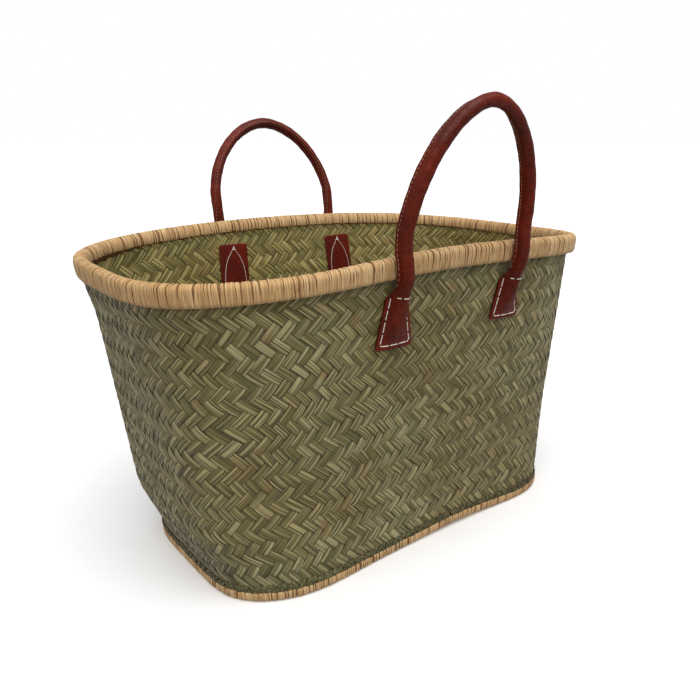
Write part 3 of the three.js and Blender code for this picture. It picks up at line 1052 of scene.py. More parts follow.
@dataclass(frozen=True)
class LeatherFinish:
    """Red-brown leather with fine pebbles, creases and lighter, rubbed ridges."""

    name: str
    deep: tuple
    body: tuple
    rubbed: tuple
    gloss: float = 0.4
    bump: float = 0.35
    depth: float = 0.15 * MM

    def material(self, groups: Groups) -> Material:
        """Write the finish.

        Args:
            groups: The shared node groups.

        Returns:
            The material.
        """
        material, s, shader = new_material(self.name, Specular_IOR_Level=0.18, Coat_Roughness=0.4)
        place = s.add("ShaderNodeTexCoord").outputs["Object"]
        grain = s.group(groups.leather, {"Position": place})
        patina = s.group(groups.patina, {"Position": place, "Broad Scale": 26.0, "Fine Scale": 700.0})
        colour = s.mix(patina["Broad"], self.deep, self.body)
        colour = s.mix(s.times(patina["Fine"], 0.25), colour, self.rubbed)
        colour = s.mix(s.times(grain["Hollows"], 0.5), colour, self.deep)
        worn = s.remap(s.add("ShaderNodeNewGeometry").outputs["Pointiness"], 0.53, 0.62)
        colour = s.mix(s.times(worn, 0.5), colour, self.rubbed)
        rough = s.math("MULTIPLY_ADD", grain["Hollows"], 0.18, self.gloss)
        rough = s.math("MULTIPLY_ADD", patina["Broad"], 0.08, rough)
        coat = s.remap(patina["Fine"], 0.0, 1.0, 0.02, 0.1)
        s.dress(
            shader, grain["Height"], self.bump, self.depth, Base_Color=colour, Roughness=rough, Coat_Weight=coat
        )
        return material


@dataclass(frozen=True)
class CordFinish:
    """Twisted thread, rope or a bundle of grass: fine slanting fibres."""

    name: str
    dark: tuple
    pale: tuple
    fibre_scale: float
    stretch: tuple = (1.0, 1.0, 1.0)
    bump: float = 0.6
    depth: float = 0.2 * MM

    def material(self, groups: Groups) -> Material:
        """Write the finish.

        Args:
            groups: The shared node groups.

        Returns:
            The material.
        """
        material, s, shader = new_material(self.name, Specular_IOR_Level=0.3)
        place = s.add("ShaderNodeTexCoord").outputs["Object"]
        fibres = s.noise(s.stretch(place, *self.stretch), self.fibre_scale, 4.0, 0.65)
        patina = s.group(groups.patina, {"Position": place, "Broad Scale": 120.0, "Fine Scale": 900.0})
        share = s.math("MULTIPLY_ADD", patina["Broad"], 0.3, s.remap(fibres, 0.3, 0.7, 0.0, 0.7))
        colour, rough = s.mix(share, self.dark, self.pale), s.remap(patina["Fine"], 0.0, 1.0, 0.62, 0.85)
        s.dress(shader, fibres, self.bump, self.depth, Base_Color=colour, Roughness=rough)
        return material


# PALM's inside factors above 1 are painted light: they brighten the wall's inner faces in place of light
# reaching the inside
PALM = PlantFinish(
    "palm_leaf", dark=srgb(104, 97, 56), body=srgb(124, 115, 70), pale=srgb(184, 174, 130),
    streak=srgb(146, 112, 66), groove=srgb(26, 21, 9), inside=(1.3, 1.25, 0.85, 1.0),
    line_scale=1000.0, streak_scale=620.0, streak_share=0.74, bump=0.85, depth=0.35 * MM,
)
# A darker copy of the palm finish for the crushed turn above the foot: painted shade
PALM_FOLD_PAINTED_SHADE = PlantFinish(
    "palm_leaf_folded", dark=srgb(70, 68, 36), body=srgb(104, 98, 58), pale=srgb(128, 120, 78),
    streak=srgb(110, 90, 52), groove=srgb(26, 24, 12), inside=srgb(200, 210, 150),
)
PALM_MAT = PlantFinish(
    "palm_mat", dark=srgb(98, 90, 54), body=srgb(130, 120, 78), pale=srgb(158, 146, 104),
    streak=srgb(150, 118, 74), groove=srgb(40, 34, 20), inside=srgb(215, 205, 170),
)
RAFFIA = PlantFinish(
    "raffia_binding", dark=srgb(186, 146, 98), body=srgb(200, 162, 110), pale=srgb(222, 192, 144),
    streak=srgb(184, 142, 92), groove=srgb(148, 110, 68), inside=srgb(240, 225, 195),
    line_scale=2400.0, streak_scale=1100.0, run_scale=40.0, edge=0.86, bump=0.45, yellow=0.15,
)
# A dark layer under the raffia strands: painted shade that shows in the gaps between them
RAFFIA_SHADE_UNDERLAY = CordFinish("raffia_under", srgb(96, 66, 38), srgb(150, 112, 70), 900.0)
GRASS = CordFinish("grass_cord", srgb(104, 88, 54), srgb(176, 154, 104), 1100.0, (0.15, 0.15, 1.0))
ROPE = CordFinish("rope_core", srgb(150, 132, 98), srgb(212, 196, 160), 1400.0, (1.0, 1.0, 0.35))
THREAD = CordFinish("waxed_thread", srgb(200, 188, 170), srgb(240, 234, 224), 2600.0)
SEAM_THREAD = CordFinish("seam_thread", srgb(128, 84, 64), srgb(196, 160, 138), 2600.0)
LEATHER = LeatherFinish(
    "handle_leather", deep=srgb(68, 8, 0), body=srgb(100, 20, 0), rubbed=srgb(146, 58, 20), gloss=0.34,
)
PATCH = LeatherFinish(
    "patch_leather", deep=srgb(76, 8, 0), body=srgb(102, 18, 0), rubbed=srgb(134, 46, 16), gloss=0.6, bump=0.5,
)


class Finishes:
    """Every finish, built once and handed out by the finish that describes it."""

    def __init__(self) -> None:
        """Build the shared groups."""
        self.groups = Groups.make()
        self.made: dict[str, Material] = {}

    def get(self, finish: PlantFinish | LeatherFinish | CordFinish) -> Material:
        """Give a finish's material, building it the first time.

        Args:
            finish: The finish.

        Returns:
            Its material.
        """
        if finish.name not in self.made:
            self.made[finish.name] = finish.material(self.groups)
        return self.made[finish.name]


@dataclass(frozen=True)
class Workshop:
    """What every maker needs: the basket's shape, the finishes and the two node trees."""

    shape: BasketShape
    finishes: Finishes
    ribbons: Tree
    stitches: Tree

    def lay(self, name: str, strands: Ribbons, form: Thing, finish: PlantFinish, **values) -> Thing:
        """Lay strands on a form as one plain mesh.

        Args:
            name: The piece's name.
            strands: The strands.
            form: The surface that they lie on.
            finish: What they are made of.
            **values: The tree's inputs, with _ for spaces.

        Returns:
            The piece.
        """
        inputs = {key.replace("_", " "): value for key, value in values.items()}
        inputs |= {"Form": form, "Material": self.finishes.get(finish)}
        return grow(name, strands.mesh(name + "_strands"), self.ribbons, inputs, ("grain", "face_side", "edge"))

    def sew(
        self, name: str, at: np.ndarray, along: np.ndarray, out: np.ndarray, thread: CordFinish, **values
    ) -> Thing:
        """Sew a row of stitches as one plain mesh.

        Args:
            name: The piece's name.
            at: The stitches' middles.
            along: The way that each runs.
            out: The way that each stands off.
            thread: What they are sewn with.
            **values: The tree's inputs, with _ for spaces.

        Returns:
            The piece.
        """
        mesh = bpy.data.meshes.new(name + "_points")
        mesh.from_pydata(at.tolist(), [], [])
        for key, rows in (("along", along), ("out", out)):
            layer = mesh.attributes.new(key, "FLOAT_VECTOR", "POINT")
            layer.data.foreach_set("vector", unit(rows).astype(np.float32).ravel())
        inputs = {key.replace("_", " "): value for key, value in values.items()}
        inputs["Material"] = self.finishes.get(thread)
        return grow(name, mesh, self.stitches, inputs, ())


# ---------------------------------------------------------------- the plaited wall


class Slope(Enum):
    """Which way a strip climbs round the basket."""

    RISING = 1
    FALLING = -1


@dataclass
class PlaitedWall:
    """The wall: two sets of slanting palm strips, each over two and under two of the other."""

    strips: int = 112
    levels: int = 47
    low: float = 5.3 * MM
    high: float = 288.0 * MM
    middle: float = -1.6 * MM
    relief: float = 0.8 * MM
    thickness: float = 0.75 * MM
    rows: int = 72
    columns: int = 720
    drift: float = 0.42
    drift_round: tuple = ((5, 7, 0.0, 1.0), (11, -13, 1.0, 0.7))
    drift_up: tuple = ((7, 5, 2.0, 1.0), (3, 9, 0.0, 1.0))
    up_share: float = 0.7
    fill: tuple[float, float] = (0.985, 1.05)
    stray: float = 0.018
    uneven: float = 0.04 * MM
    relief_range: tuple[float, float] = (0.9, 1.1)
    slant_share: float = 0.7071
    seed: int = 11

    @staticmethod
    def waves(u: np.ndarray, v: np.ndarray, rows: Sequence[tuple]) -> np.ndarray:
        """Add up slow waves over the wall.

        Args:
            u: Shares of the way round.
            v: Shares of the way up.
            rows: Each wave's turns round, radians up, shift and size.

        Returns:
            The sum.
        """
        return sum(
            np.sin(math.tau * turns * u + climb * v + shift) * size for turns, climb, shift, size in rows
        )

    def form(self, shape: BasketShape) -> Thing:
        """Make the surface through the middle of the wall.

        Args:
            shape: The basket's shape.

        Returns:
            The form.
        """
        across, up = np.linspace(0, 1, self.columns + 1), np.linspace(0, 1, self.rows + 1)
        rings = [shape.ring(self.low + (self.high - self.low) * v, across, self.middle) for v in up]
        points, outs = (np.stack(part) for part in zip(*rings))
        u, v = np.meshgrid(across, up)
        held = np.sin(math.pi * u) ** 2 * np.sin(math.pi * v)
        round_drift, up_drift = (self.waves(u, v, rows) for rows in (self.drift_round, self.drift_up))
        u = u + held * round_drift * self.drift / self.strips
        v = v + held * up_drift * self.drift * self.up_share / self.levels
        return make_form("wall_form", points, outs, u, v)

    def strands(self, slope: Slope, part: range, shape: BasketShape) -> Ribbons:
        """Set out some of the strips that climb one way.

        Args:
            slope: Which way they climb.
            part: Which strips.
            shape: The basket's shape.

        Returns:
            The strips.
        """
        rng = np.random.default_rng(self.seed + 10 * slope.value + part.start)
        ribbons = Ribbons()
        turn, rise = slope.value, 1.0 / self.levels
        pitch = shape.girth((self.low + self.high) / 2) / self.strips
        length = math.hypot(pitch / 2, (self.high - self.low) / self.levels) * self.levels
        shift = 0.0 if slope is Slope.RISING else math.pi
        for index in part:
            fill = rng.uniform(*self.fill)
            start = (index / self.strips + rng.normal(0, self.stray) / self.strips + 2.0, 0.0)
            side = (-fill / (2 * self.strips), turn * fill * rise)
            ribbons.lay(
                start, (turn * self.levels / (2 * self.strips), 1.0), side,
                (length, pitch * fill * self.slant_share),
                lift=rng.normal(0, self.uneven), relief=self.relief * rng.uniform(*self.relief_range),
                phase=math.pi / 4 + shift, turns=self.levels / 4, tone=rng.random(),
            )
        return ribbons

    def build(self, shop: Workshop) -> list[Thing]:
        """Plait the wall.

        Args:
            shop: The workshop.

        Returns:
            The pieces, half of each set of strips in each.
        """
        form = self.form(shop.shape)
        pieces = []
        half = self.strips // 2
        for slope in Slope:
            for count, part in enumerate((range(half), range(half, self.strips)), 1):
                name = f"wall_{slope.name.lower()}_strips_{count}"
                pieces.append(shop.lay(
                    name, self.strands(slope, part, shop.shape), form, PALM,
                    Segments_Along=124, Segments_Across=3, Thickness=self.thickness, Edge_Thinning=0.55,
                    Camber=0.12 * MM, Wander=0.07, Wander_Scale=16.0, Width_Change=0.16, Twist=0.9 * MM,
                    Lumps=0.35 * MM, Seed=count + 5 * slope.value,
                ))
        bpy.data.objects.remove(form)
        fasten(pieces, "palm_weave", "wall_weave")
        return pieces


@dataclass
class BottomMat:
    """The bottom: the same plait, laid flat inside the foot."""

    spacing: float = 12.0 * MM
    level: float = 6.0 * MM
    height: float = 9.4 * MM
    inset: float = -3.4 * MM
    relief: float = 0.75 * MM
    margin: float = 1.02
    sag: float = 0.5 * MM
    sag_waves: tuple[float, float] = (4.1, 2.3)
    fill: tuple[float, float] = (0.87, 0.98)
    each_way: int = 36
    search: float = 0.6
    search_steps: int = 4800
    shortest: int = 60
    seed: int = 41

    def edge(self, shape: BasketShape) -> tuple[float, float, float]:
        """Give the mat's half length, half depth and squareness."""
        half_length, half_depth, power = shape.plan(self.height)
        return half_length + self.inset, half_depth + self.inset, power

    def form(self, shape: BasketShape) -> Thing:
        """Make the flat surface that the mat lies in.

        Args:
            shape: The basket's shape.

        Returns:
            The form.
        """
        length, depth, _ = self.edge(shape)
        u = np.linspace(0, 1, 41)
        x, y = np.meshgrid((u * 2 - 1) * length * self.margin, (u * 2 - 1) * depth * self.margin)
        sag = self.sag * np.cos(x / length * self.sag_waves[0]) * np.cos(y / depth * self.sag_waves[1])
        points = shape.settle(np.stack([x, y, self.height + sag], axis=-1))
        return make_form("mat_form", points, np.broadcast_to((0.0, 0.0, 1.0), points.shape), u, u)

    def clip(self, start: np.ndarray, way: np.ndarray, shape: BasketShape) -> tuple[float, float] | None:
        """Find where a slanting line crosses the mat's edge.

        Args:
            start: A point on the line.
            way: The line's direction.
            shape: The basket's shape.

        Returns:
            The two distances along the line, or None where it misses.
        """
        length, depth, power = self.edge(shape)
        t = np.linspace(-self.search, self.search, self.search_steps + 1)
        at = start + t[:, None] * way
        inside = (np.abs(at[:, 0]) / length) ** power + (np.abs(at[:, 1]) / depth) ** power < 1
        return (float(t[inside][0]), float(t[inside][-1])) if inside.sum() > self.shortest else None

    def build(self, shop: Workshop) -> list[Thing]:
        """Plait the mat.

        Args:
            shop: The workshop.

        Returns:
            The pieces, one for each way that strips run.
        """
        form = self.form(shop.shape)
        length, depth, _ = self.edge(shop.shape)
        scale = np.array([2 * self.margin * length, 2 * self.margin * depth])
        rng = np.random.default_rng(self.seed)
        pieces = []
        for slope in Slope:
            ribbons = Ribbons()
            way = np.array([slope.value, 1.0]) / math.sqrt(2)
            across = np.array([-way[1], way[0]])
            for index in range(-self.each_way, self.each_way + 1):
                ends = self.clip(np.array([index * self.spacing, 0.0]), way, shop.shape)
                if ends is None:
                    continue
                fill = rng.uniform(*self.fill)
                start = np.array([index * self.spacing, 0.0]) + ends[0] * way
                run = (ends[1] - ends[0]) * way
                width = self.spacing / math.sqrt(2) * fill
                levels = run[1] / self.level
                shift = 0.0 if slope is Slope.RISING else math.pi
                ribbons.lay(
                    start / scale + 0.5, run / scale, across * width / scale, (ends[1] - ends[0], width),
                    relief=self.relief, phase=math.pi / 4 + shift + start[1] / self.level * math.pi / 2,
                    turns=levels / 4, tone=rng.random(),
                )
            pieces.append(shop.lay(
                f"bottom_{slope.name.lower()}_strips", ribbons, form, PALM_MAT,
                Segments_Along=84, Segments_Across=2, Thickness=0.7 * MM, Edge_Thinning=0.5, Camber=0.08 * MM,
                Wander=0.05, Wander_Scale=9.0, Width_Change=0.1, Twist=0.4 * MM, Lumps=0.2 * MM,
                Seed=70 + slope.value,
            ))
        bpy.data.objects.remove(form)
        fasten(pieces, "palm_mat", "base_mat")
        return pieces


# ---------------------------------------------------------------- bound edges


ROUND = 720  # steps round the basket in a swept edge
LOW_EDGE = 0.1  # an edge whose base is lower than this (m) settles with the foot


def sweep(
    shape: BasketShape, section: Sequence[tuple], base_height: float, points: int, inset: float = 0.0
) -> tuple[np.ndarray, np.ndarray]:
    """Sweep a section round the basket.

    Args:
        shape: The basket's shape.
        section: The section's corners in millimetres, out from the wall and up from the base.
        base_height: The height of the section's base.
        points: How many points to space evenly over the section.
        inset: How far inside the section to stay.

    Returns:
        Points and outward directions, by place in the section and place round.
    """
    path = resample(np.array(section) * MM, points)
    tangent = unit(np.gradient(path, axis=0))
    normal = np.stack([tangent[:, 1], -tangent[:, 0]], axis=1)
    share = np.linspace(0, 1, ROUND + 1)
    start, side = shape.ring(base_height, share, 0.0, settled=False)
    rows, outs = [], []
    for (offset, height), (out, up) in zip(path - normal * inset, normal):
        level = max(base_height + height, 1.0 * MM)
        drift = shape.ring(level, share, 0.0, settled=False)[0] - start
        drift[:, 2] = height
        laid = start + drift + side * offset
        rows.append(shape.settle(laid) if base_height < LOW_EDGE else shape.sag(laid))
        outs.append(side * out + np.array([0.0, 0.0, up]))
    return np.stack(rows), unit(np.stack(outs))


@dataclass
class BoundEdge:
    """Raffia wound over an edge: close strands on a form, over a darker layer below them that paints the shade
    in the gaps between the strands.
    """

    name: str
    node: str
    section: Sequence[tuple[float, float]]
    base_height: float
    count: int
    width: tuple[float, float]
    wide_share: float
    slant: float
    ragged: float
    segments: int
    seed: int
    parts: int = 1
    lift: float = 0.2 * MM
    lift_range: tuple[float, float] = (0.0, 2.2)
    wider: tuple[float, float] = (1.7, 2.6)
    stray: float = 0.12
    # how far under the strands the dark layer of painted shade lies
    depth: float = 0.35 * MM

    def strands(self, part: range, girth: float, path_length: float) -> Ribbons:
        """Wind some of the strands.

        Args:
            part: Which strands.
            girth: The distance round the edge.
            path_length: The distance over the edge, from side to side.

        Returns:
            The strands.
        """
        ribbons = Ribbons()
        for index in part:
            rng = np.random.default_rng(self.seed * 10007 + index)
            width = rng.uniform(*self.width)
            if rng.random() < self.wide_share:
                width *= rng.uniform(*self.wider)
            lean = rng.normal(0, self.slant) / girth
            low, high = rng.uniform(0, self.ragged), 1 - rng.uniform(0, self.ragged)
            start = ((index + rng.normal(0, self.stray)) / self.count + 2.0, low)
            ribbons.lay(
                start, (lean, high - low), (-width / girth, 0.0), (path_length, width),
                lift=rng.uniform(*self.lift_range) * self.lift, tone=rng.random(),
            )
        return ribbons

    def build(self, shop: Workshop) -> list[Thing]:
        """Wind the edge.

        Args:
            shop: The workshop.

        Returns:
            The pieces.
        """
        swept = shop.shape, self.section, self.base_height, 4 * self.segments
        points, outs = sweep(*swept)
        share = np.linspace(0, 1, ROUND + 1)
        form = make_form(self.name + "_form", points, outs, share, np.linspace(0, 1, len(points)))
        girth = shop.shape.girth(self.base_height)
        path_length = length_of(resample(np.array(self.section) * MM, 200))
        bounds = np.linspace(0, self.count, self.parts + 1).astype(int)
        pieces = []
        for number, (low, high) in enumerate(zip(bounds, bounds[1:]), 1):
            strands = self.strands(range(low, high), girth, path_length)
            pieces.append(shop.lay(
                f"{self.name}_wraps_{number}", strands, form, RAFFIA,
                Segments_Along=self.segments, Segments_Across=2, Thickness=0.4 * MM, Edge_Thinning=0.5,
                Camber=0.16 * MM, Wander=0.35, Wander_Scale=3.0, Width_Change=0.5, Twist=0.5 * MM,
                Lumps=0.5 * MM, Seed=self.seed + number,
            ))
        bpy.data.objects.remove(form)
        # The dark layer under the strands paints the shade in the gaps between them
        under, _ = sweep(*swept, inset=self.depth)
        rings = np.swapaxes(under[:, :-1:2], 0, 1)
        pieces.append(loft(self.name + "_under", rings, shop.finishes.get(RAFFIA_SHADE_UNDERLAY), closed=True))
        fasten(pieces, "raffia", self.node)
        return pieces


RIM = BoundEdge(
    name="rim", node="rim_binding", base_height=296 * MM,
    section=(
        (0.9, -18.9), (3.6, -18.8), (5.8, -18.0), (6.6, -16.4), (6.75, -13.0), (6.85, -9.0), (6.7, -5.0),
        (5.7, -2.3), (3.7, -0.7), (1.05, -0.1), (-1.5, -0.7), (-3.4, -2.4), (-4.5, -4.8), (-4.8, -8.0),
        (-4.6, -10.6), (-3.4, -12.2),
    ),
    count=1180, width=(1.1 * MM, 1.9 * MM), wide_share=0.04, slant=1.8 * MM, ragged=0.05, segments=20,
    seed=3, parts=2,
)
FOOT = BoundEdge(
    name="foot", node="base_binding", base_height=0.0,
    section=(
        (-6.3, 7.4), (-7.4, 6.2), (-7.5, 3.6), (-6.8, 1.7), (-5.0, 0.85), (-2.5, 0.8), (-0.6, 0.85), (0.9, 1.5),
        (1.5, 2.9), (1.6, 5.5), (1.5, 8.2), (0.6, 9.6),
    ),
    count=930, width=(1.1 * MM, 1.9 * MM), wide_share=0.04, slant=1.0 * MM, ragged=0.04, segments=14, seed=7,
)


@dataclass
class FoldedPlait:
    """The crushed turn of the plait just above the foot: narrow strips slanting both ways, close together, in a
    darker copy of the palm finish that paints this band's shade.
    """

    section: Sequence[tuple[float, float]] = ((-0.9, 7.4), (0.5, 9.4), (0.9, 11.6), (0.6, 14.0), (-0.8, 16.6))
    height: float = 10 * MM
    count: int = 330
    width: tuple[float, float] = (1.9 * MM, 3.4 * MM)
    length: float = 12 * MM
    slant: float = 7.0 * MM
    slant_range: tuple[float, float] = (0.6, 1.3)
    stray: float = 0.2
    low_end: tuple[float, float] = (0.0, 0.12)
    reach: tuple[float, float] = (0.7, 0.88)
    lift: tuple[float, float] = (-0.2, 0.5)
    relief: float = 0.35 * MM
    turns: float = 1.5
    segments: int = 6
    seed: int = 61

    def build(self, shop: Workshop) -> list[Thing]:
        """Lay the crushed strips.

        Args:
            shop: The workshop.

        Returns:
            The pieces, one for each way that strips slant.
        """
        points, outs = sweep(shop.shape, self.section, 0.0, 4 * self.segments)
        across, up = np.linspace(0, 1, points.shape[1]), np.linspace(0, 1, len(points))
        form = make_form("fold_form", points, outs, across, up)
        girth = shop.shape.girth(self.height)
        pieces = []
        for slope in Slope:
            rng = np.random.default_rng(self.seed + slope.value)
            ribbons = Ribbons()
            for index in range(self.count):
                width = rng.uniform(*self.width)
                lean = slope.value * self.slant * rng.uniform(*self.slant_range) / girth
                place = (index + rng.normal(0, self.stray)) / self.count + 2.0
                start = (place, rng.uniform(*self.low_end))
                ribbons.lay(
                    start, (lean, rng.uniform(*self.reach)), (-width / girth, 0.0), (self.length, width),
                    lift=rng.uniform(*self.lift) * MM, relief=self.relief, phase=rng.uniform(0, math.tau),
                    turns=self.turns, tone=rng.random(),
                )
            pieces.append(shop.lay(
                f"folded_{slope.name.lower()}_strips", ribbons, form, PALM_FOLD_PAINTED_SHADE,
                Segments_Along=10, Segments_Across=2, Thickness=0.4 * MM, Edge_Thinning=0.5, Camber=0.1 * MM,
                Wander=0.3, Wander_Scale=2.0, Width_Change=0.3, Twist=0.9 * MM, Lumps=0.5 * MM,
                Seed=80 + slope.value,
            ))
        bpy.data.objects.remove(form)
        fasten(pieces, "palm_weave")
        return pieces


@dataclass
class HiddenCord:
    """A cord or a bundle of grass that the raffia is wound over."""

    name: str
    node: str
    base_height: float
    middle: tuple[float, float]
    radii: tuple[float, float]
    steps: int = 360
    sides: int = 20

    def build(self, shop: Workshop) -> list[Thing]:
        """Run the cord round the basket, settled with the rest of it.

        Args:
            shop: The workshop.

        Returns:
            The cord.
        """
        turn = np.arange(self.sides + 1) * math.tau / self.sides
        section = np.stack([
            self.middle[0] + np.cos(turn) * self.radii[0], self.middle[1] + np.sin(turn) * self.radii[1],
        ], axis=1)
        points, _ = sweep(shop.shape, section, self.base_height, self.sides)
        picked = np.linspace(0, points.shape[1] - 1, self.steps + 1).astype(int)[:-1]
        rings = points[:-1, picked].transpose(1, 0, 2)[:, ::-1]
        cord = loft(self.name, rings, shop.finishes.get(GRASS), closed=True)
        fasten([cord], "grass_cord", self.node)
        return [cord]


HIDDEN_CORDS = (
    HiddenCord("foot_cord", "base_cord", 0.0, (-2.9, 4.6), (3.3, 3.3)),
    HiddenCord("crown_cord", "rim_cord", 296 * MM, (-0.4, -5.2), (2.4, 2.4)),
    HiddenCord("side_bundle", "rim_bundle", 296 * MM, (3.4, -12.4), (2.0, 3.8)),
)


# ---------------------------------------------------------------- handles


class Side(Enum):
    """Which long side of the basket a handle is sewn to."""

    FRONT = -1
    BACK = 1


class Foot(Enum):
    """Which end of a handle, seen from the front."""

    LEFT = -1
    RIGHT = 1


SIDES = 72  # places round the leather
SLEEVE = 5.6 * MM
NECK = 262.0  # height (mm) of the line where the tab's stitching crosses the rolled leather
# The rolled leather's outline: a round with the sewn edges standing up as a two-layer ridge.
RIDGE_ANGLES = (0.0, 5.0, 10.0, 15.0, 20.0, 30.0, 180.0)
RIDGE_RISE = (2.65, 3.0, 1.25, 0.4, 0.1, 0.0, 0.0)
# Heights (mm) against the tab's half width, the rope's bulge under it and the bulge's half width.
TAB_HEIGHTS = (220.0, 220.4, 221.4, 223.0, 230.0, 238.0, 248.0, 262.0, 270.0, 277.0, 290.0)
TAB_HALF = (16.6, 17.6, 18.3, 18.5, 17.2, 15.6, 13.4, 10.6, 8.4, 6.0, 5.6)
TAB_BULGE = (0.3, 0.35, 0.5, 0.9, 3.8, 7.0, 10.0, 13.0, 14.2, 14.2, 14.2)
TAB_BULGE_HALF = (13.0, 13.0, 13.0, 13.0, 12.2, 10.8, 8.9, 7.0, 6.4, 6.0, 6.0)
# How far out the leg's middle stands (mm) at a height (mm).
LEG_ROUTE = ((262.0, 150.8), (266.0, 152.4), (270.0, 154.1), (274.0, 155.7), (278.0, 157.1), (283.0, 158.3),
             (290.0, 158.9), (305.5, 158.6))


ROPE_HEIGHTS = (228.0, 236.0, 250.0, NECK)  # heights (mm) over which the rope swells to its full thickness
# The seam's stitches: along the ridge, out from the leather's middle and out to each flank.
SEAM_PITCH, SEAM_RADIUS, SEAM_HALF = 3.5 * MM, 6.9 * MM, 1.3 * MM
# The saddle stitches' line on half of a tab: across from its middle and height (mm) on the drawing.
SADDLE_LINE = (
    (0.0, 261.2), (5.0, 261.4), (7.3, 261.6), (8.2, 256.0), (10.6, 246.0), (13.4, 232.0), (15.0, 225.6),
    (14.4, 223.9), (12.0, 223.5), (6.0, 223.4), (0.0, 223.3),
)
SADDLE_PITCH, SADDLE_GAP, SADDLE_START = 9.3, 3.9, 1.2  # two stitches' pitch, the second's place, the first's


def rolled_outline(ridge: np.ndarray | float = 1.0) -> np.ndarray:
    """Give the rolled leather's radius at each of its places, from the ridge round.

    Args:
        ridge: How much of the ridge stands up, 0 for plain round.

    Returns:
        The radius at each place.
    """
    angle = np.arange(SIDES) * 360.0 / SIDES
    angle = np.minimum(angle, 360.0 - angle)
    return SLEEVE + MM * ridge * np.interp(angle, RIDGE_ANGLES, RIDGE_RISE)


@dataclass
class Handle:
    """A rolled leather handle: two flattened, sewn ends and an arch, over a rope."""

    side: Side
    spread: float
    straight: float
    rise: float
    leg_turn: int
    turns: Sequence[tuple[float, float]]
    tucks: dict[Foot, float]
    lows: dict[Foot, float]
    lower_fold: float
    upper_fold: float
    spacing: float = 138 * MM
    shift: float = 10 * MM
    upper_reach: float = 158.2 * MM
    lean: float = math.radians(12.5)
    arch_power: float = 1.85
    join: float = 286.0
    tab_leather: float = 2.2 * MM
    stand_off: float = 0.4 * MM
    fold_room: float = 18 * MM
    grip_room: float = 16 * MM
    rope: float = 3.4 * MM
    line_steps: int = 900
    seam_steps: int = 1200

    @property
    def label(self) -> str:
        """Give the handle's name."""
        return self.side.name.lower()

    def tab_centre(self, foot: Foot) -> float:
        """Give where the tab's middle is along the basket."""
        return self.shift + foot.value * (self.spacing / 2 - self.tucks[foot])

    def drawn(self, foot: Foot, height: float) -> float:
        """Give the height (mm) on the tab's own drawing of a height (mm) on this tab."""
        low = self.lows[foot]
        return height if height > NECK else NECK - (NECK - height) * (NECK - TAB_HEIGHTS[0]) / (NECK - low)

    def real(self, foot: Foot, drawn: float) -> float:
        """Give the height (mm) on this tab of a height (mm) on the tab's own drawing."""
        low = self.lows[foot]
        return drawn if drawn > NECK else NECK - (NECK - drawn) * (NECK - low) / (NECK - TAB_HEIGHTS[0])

    def leg_point(self, foot: Foot, height: float) -> np.ndarray:
        """Give the middle of a leg.

        Args:
            foot: Which end of the handle.
            height: The height in millimetres.

        Returns:
            The point.
        """
        reach = np.interp(height, *zip(*LEG_ROUTE)) * MM
        climbed = np.clip((height * MM - self.lower_fold) / (self.upper_fold - self.lower_fold), 0, 1)
        apart = self.spacing / 2 + self.spread * climbed - self.tucks[foot] * (1 - smooth(climbed))
        return np.array([self.shift + foot.value * apart, self.side.value * reach, height * MM])

    def tab_point(
        self, shape: BasketShape, foot: Foot, across: np.ndarray, height: float, out: np.ndarray
    ) -> np.ndarray:
        """Give points on or above the wall under a tab.

        Args:
            shape: The basket's shape.
            foot: Which end of the handle.
            across: Distances from the tab's middle, to the left as seen by someone facing the tab's back.
            height: The height in metres.
            out: Distances out from the tab's back.

        Returns:
            The points.
        """
        x = self.tab_centre(foot) + self.side.value * across
        return shape.side(x, self.side.value, np.full_like(x, height), out + self.stand_off)[0]

    def front_height(self, across: np.ndarray, height: float) -> np.ndarray:
        """Give how far the tab's front stands off its back.

        Args:
            across: Distances from the tab's middle.
            height: The height in millimetres on the tab's own drawing.

        Returns:
            The distances.
        """
        bulge = np.interp(height, TAB_HEIGHTS, TAB_BULGE) * MM
        half = np.interp(height, TAB_HEIGHTS, TAB_BULGE_HALF) * MM
        share = np.clip(np.abs(across) / half, 0, 1)
        return self.tab_leather + bulge * (1 - share**2.4) ** 0.75

    def tab_ring(self, shape: BasketShape, foot: Foot, height: float) -> np.ndarray:
        """Give one flat ring of the tab.

        Args:
            shape: The basket's shape.
            foot: Which end of the handle.
            height: The height in millimetres on the tab's own drawing.

        Returns:
            The ring's points, from the back's middle round.
        """
        level = self.real(foot, height)
        half = float(np.interp(height, TAB_HEIGHTS, TAB_HALF)) * MM
        quarter = (SIDES - 4) // 4
        back = np.linspace(0, half, quarter + 1)
        front = np.linspace(half, -half, 2 * quarter + 1)
        groove = half - 0.35 * MM
        across = np.concatenate([back, [groove], front, [-groove], -back[::-1][:-1]])
        out = np.concatenate([
            np.zeros(quarter + 1), [self.tab_leather / 2], self.front_height(front, height),
            [self.tab_leather / 2], np.zeros(quarter),
        ])
        return self.tab_point(shape, foot, across, level * MM, out)

    def frames(self, path: np.ndarray) -> tuple[np.ndarray, np.ndarray, np.ndarray]:
        """Give each point of a path its forward, inward and sideways directions.

        Args:
            path: The middle line.

        Returns:
            Forward, towards the inside of the basket, and forward crossed with it.
        """
        forward = unit(np.gradient(path, axis=0))
        above = smooth((path[:, 2] - self.upper_fold) / (20 * MM))
        tilt = self.lean * above
        inward = np.stack([np.zeros(len(path)), -self.side.value * np.cos(tilt), np.sin(tilt)], axis=1)
        inward = unit(inward - forward * np.sum(inward * forward, axis=1, keepdims=True))
        return forward, inward, np.cross(forward, inward)

    def leg_path(self, foot: Foot, low: float, count: int) -> np.ndarray:
        """Give a leg's middle line from a height up to where the grip's leather takes over."""
        heights = np.linspace(low, self.join, 9)
        return spline(np.array([self.leg_point(foot, h) for h in heights]), count)

